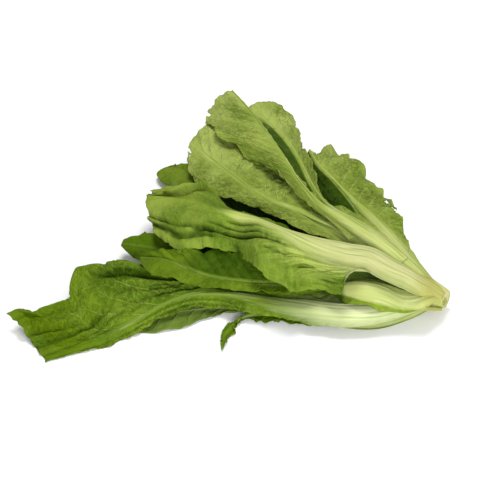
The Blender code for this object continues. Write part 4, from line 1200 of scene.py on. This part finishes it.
def leaf_material(name, tone):
    """Living leaf: blade, veins and stalk in their own greens, with the tone's own values, and painted shade
    mixed in towards the darkest green.
    """
    material, w, shader = new_material(name)
    place = w.mark("flat_place", "Vector")
    net = w.node("ShaderNodeGroup", node_tree=GROUPS["vein_network"])
    w.feed(tone["vein_gap"], net.inputs["Vein Gap"])
    streaks = w.node("ShaderNodeGroup", node_tree=GROUPS["stalk_streaks"])
    w.feed(tone["spread"], streaks.inputs["Spread"])
    w.feed(tone["pale_to"], streaks.inputs["Fade To"])
    net, streaks = net.outputs, streaks.outputs
    shown = w.step(w.mark("up_leaf"), tone["rib_end"] - 0.1, tone["rib_end"], 1.0, 0.1)
    shown = w.times(streaks["Stalk"], shown)
    colour = w.mix(shown, blade_colour(w, tone, place, net), stalk_colour(w, tone, streaks))
    up_stalk = w.node("ShaderNodeSeparateXYZ", (place,)).outputs[1]
    earthy = w.plus(w.noise(place, 70.0, 4.0, 0.6), 0.03, up_stalk)
    colour = w.mix(w.step(earthy, 0.0, 0.034, 0.8, 0.0), colour, EARTHY)
    # Painted shade: the colour is mixed towards the darkest green where the leaf's shade mark is high.
    dark = w.step(w.mark("painted_shade"), 0.1, 1.5, 0.0, 0.93)
    w.feed(w.mix(dark, colour, tone["deep"]), shader.inputs["Base Color"])
    rough = w.step(w.noise(place, 120.0), 0.3, 0.7, tone["rough"] - 0.07, tone["rough"] + 0.07)
    w.feed(rough, shader.inputs["Roughness"])
    w.feed(tone["shine"] * 0.4, shader.inputs["Specular IOR Level"])
    height = w.plus(net["Creases"], -0.95 * tone["creases"], net["Height"])
    height = w.plus(streaks["Streaks"], 0.8, height)
    height = w.plus(w.noise(place, 700.0, 2.0), 0.35, height)
    w.bump(height, 1.0, 0.0006, shader)
    return material


def crown_material():
    """Pale green stump with brownish patches and a drier cut end."""
    material, w, shader = new_material("crown_skin")
    place = w.node("ShaderNodeTexCoord").outputs["Object"]
    colour = w.mix(w.step(w.noise(place, 60.0, 4.0), 0.35, 0.7), CROWN_GREEN, CROWN_LIGHT)
    brown = w.step(w.noise(place, 45.0, 5.0, 0.65), 0.52, 0.68, 0.0, 0.6)
    colour = w.mix(brown, colour, CROWN_BROWN)
    colour = w.mix(w.step(w.mark("cut_end"), 0.1, 0.5), colour, CUT_COLOUR)
    w.feed(colour, shader.inputs["Base Color"])
    w.feed(w.step(w.noise(place, 200.0), 0.3, 0.7, 0.4, 0.6), shader.inputs["Roughness"])
    w.bump(w.noise(place, 350.0, 4.0, 0.6), 0.5, 0.0008, shader)
    return material


FIBRE = (0.86, 0.84, 0.62)
EARTHY = (0.34, 0.335, 0.08)
CROWN_GREEN = (0.34, 0.37, 0.10)
CROWN_LIGHT = (0.46, 0.48, 0.17)
CROWN_BROWN = (0.42, 0.30, 0.07)
CUT_COLOUR = (0.44, 0.40, 0.16)

# What is usual, and what each tone has otherwise.
# COMMON's darkest green is the colour that painted shade darkens every leaf towards.
COMMON = dict(net=0.12, veins=0.45, deep=(0.02, 0.052, 0.001), tip=(0.22, 0.30, 0.02), creases=0.35, fan=0.0)
TONES = {
    "back": dict(
        blade=(0.14, 0.205, 0.02), blade_light=(0.235, 0.305, 0.048), vein=(0.36, 0.43, 0.12), rough=0.62,
        midrib=(0.30, 0.37, 0.075), stalk=(0.43, 0.47, 0.155), stalk_line=(0.15, 0.24, 0.03), shine=0.1,
        tip=(0.34, 0.41, 0.10), creases=1.2,
    ),
    "face": dict(
        blade=(0.052, 0.105, 0.003), blade_light=(0.108, 0.178, 0.008), vein=(0.26, 0.35, 0.05), rough=0.5,
        midrib=(0.11, 0.165, 0.014), stalk=(0.64, 0.685, 0.38), stalk_line=(0.28, 0.39, 0.09), shine=0.08,
        tip=(0.08, 0.135, 0.0), veins=0.7, net=0.24, creases=0.9,
    ),
    # Darker greens and a dark green stalk, as painted shade for the scoop that lies in the dark.
    "bowl": dict(
        blade=(0.045, 0.09, 0.0015), blade_light=(0.10, 0.16, 0.008), vein=(0.20, 0.27, 0.03), rough=0.55,
        midrib=(0.12, 0.18, 0.02), stalk=(0.24, 0.31, 0.06), stalk_line=(0.12, 0.19, 0.025), shine=0.06,
        tip=(0.10, 0.16, 0.006),
    ),
    # Darker greens, as painted shade, for the leaves that lie low under the others.
    "deep": dict(
        blade=(0.04, 0.085, 0.0015), blade_light=(0.075, 0.14, 0.003), vein=(0.17, 0.26, 0.025), rough=0.55,
        midrib=(0.11, 0.17, 0.015), stalk=(0.35, 0.42, 0.13), stalk_line=(0.16, 0.25, 0.03), shine=0.06,
        tip=(0.08, 0.15, 0.003),
    ),
    "tip": dict(
        blade=(0.06, 0.115, 0.003), blade_light=(0.12, 0.19, 0.012), vein=(0.24, 0.32, 0.05), rough=0.55,
        midrib=(0.13, 0.19, 0.02), stalk=(0.35, 0.42, 0.13), stalk_line=(0.16, 0.25, 0.03), shine=0.08,
        tip=(0.17, 0.24, 0.02),
    ),
    "shade": dict(
        blade=(0.08, 0.125, 0.016), blade_light=(0.125, 0.185, 0.028), vein=(0.22, 0.29, 0.07), rough=0.6,
        midrib=(0.25, 0.32, 0.10), stalk=(0.42, 0.48, 0.18), stalk_line=(0.19, 0.28, 0.055), shine=0.1,
        tip=(0.12, 0.18, 0.025),
    ),
    "centre": dict(
        blade=(0.075, 0.135, 0.006), blade_light=(0.155, 0.235, 0.02), vein=(0.30, 0.38, 0.08), rough=0.58,
        midrib=(0.42, 0.49, 0.11), stalk=(0.46, 0.455, 0.21), stalk_line=(0.20, 0.29, 0.04), shine=0.1,
        tip=(0.24, 0.31, 0.045), fan=0.85,
    ),
    "heart": dict(
        blade=(0.17, 0.26, 0.012), blade_light=(0.25, 0.35, 0.03), vein=(0.42, 0.50, 0.12), rough=0.5,
        midrib=(0.43, 0.47, 0.16), stalk=(0.44, 0.47, 0.18), stalk_line=(0.24, 0.34, 0.055), shine=0.15,
    ),
}
GROUPS = {"vein_network": vein_network(), "stalk_streaks": stalk_streaks()}

# The solids' leaves come down first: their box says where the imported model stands.
pile = np.zeros(PILE_CELLS)
laid, rises = zip(*(solid_leaf(sizes, pile) for sizes in LEAVES))
low_x = min(points[..., 0].min() for points in laid)
high_y = max(points[..., 1].max() for points in laid)
SHIFT = np.array([SOLID_BOX[0][0] / MM - low_x, SOLID_BOX[1][1] / MM - high_y, 0.0])


def make_piece(name, mesh, node, materials):
    for material in materials:
        mesh.materials.append(material)
    piece = bpy.data.objects.new(name, mesh)
    bpy.context.scene.collection.objects.link(piece)
    piece.location = SHIFT * MM
    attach(piece, "root")
    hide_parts(node)


for sizes, rise in zip(LEAVES, rises):
    name = sizes["name"]
    upper, lower, marks = fine_leaf(sizes, rise)
    mesh = leaf_mesh(name, upper, lower, marks, kept_cells(sizes, marks))
    own = {key: sizes[key] for key in ("vein_gap", "spread", "rib_end", "pale_to")}
    skins = [
        leaf_material(name + part, {**COMMON, **TONES[tone], **own})
        for part, tone in (("_top", sizes["tone"]), ("_under", sizes["under"]))
    ]
    make_piece(name + "_grown", mesh, name, skins)

make_piece("crown_cut", crown_mesh("crown_cut"), "crown", [crown_material()])

# Floor, lights and camera. Each light: name, place, what it points at, size and power.
FLOOR_HALF = 4.0
BELOW_LEAVES = 0.0005
LIGHTS = [
    ("key", (0.0, 0.4, 1.75), (0, 0, 0), 0.8, 23.0),
    ("front_fill", (0.5, -1.75, 0.75), (0.1, -0.1, 0), 1.0, 33.0),
]
SKY_STRENGTH = 0.55
CAMERA_DISTANCE = 15.0
PICTURE_WIDTH = 0.5
SENSOR_WIDTH = 36
FURTHEST_SEEN = 60


def floor():
    mesh = bpy.data.meshes.new("floor")
    corners = [(x * FLOOR_HALF, y * FLOOR_HALF, 0) for x, y in ((-1, -1), (1, -1), (1, 1), (-1, 1))]
    mesh.from_pydata(corners, [], [(0, 1, 2, 3)])
    material, w, shader = new_material("floor_paper")
    place = w.node("ShaderNodeTexCoord").outputs["Object"]
    colour = w.mix(w.noise(place, 8.0), (0.90, 0.90, 0.90), (0.93, 0.93, 0.93))
    w.feed(colour, shader.inputs["Base Color"])
    w.feed(0.9, shader.inputs["Roughness"])
    w.feed(0.1, shader.inputs["Specular IOR Level"])
    mesh.materials.append(material)
    made = bpy.data.objects.new("floor", mesh)
    made.location = (0, 0, -BELOW_LEAVES)
    bpy.context.scene.collection.objects.link(made)


def area_light(name, place, aim, size, power):
    light = bpy.data.lights.new(name, "AREA")
    light.shape = "DISK"
    light.size = size
    light.energy = power
    lamp = bpy.data.objects.new(name, light)
    lamp.location = place
    lamp.rotation_euler = (Vector(aim) - Vector(place)).to_track_quat("-Z", "Y").to_euler()
    bpy.context.scene.collection.objects.link(lamp)


floor()
for light in LIGHTS:
    area_light(*light)
world = bpy.data.worlds.new("studio")
world.use_nodes = True
sky = world.node_tree.nodes["Background"].inputs
sky["Color"].default_value = (1, 1, 1, 1)
sky["Strength"].default_value = SKY_STRENGTH
bpy.context.scene.world = world
bpy.context.scene.view_settings.view_transform = "Standard"

camera_data = bpy.data.cameras.new("camera")
camera_data.sensor_width = SENSOR_WIDTH
camera_data.lens = SENSOR_WIDTH * CAMERA_DISTANCE / PICTURE_WIDTH
camera_data.clip_end = FURTHEST_SEEN
camera = bpy.data.objects.new("camera", camera_data)
back = Vector((0, -SEEN_HEIGHT, SEEN_DEPTH))
camera.location = Vector(SHIFT * MM) + back * CAMERA_DISTANCE
camera.rotation_mode = "QUATERNION"
camera.rotation_quaternion = (-back).to_track_quat("-Z", "Y")
bpy.context.scene.collection.objects.link(camera)
bpy.context.scene.camera = camera
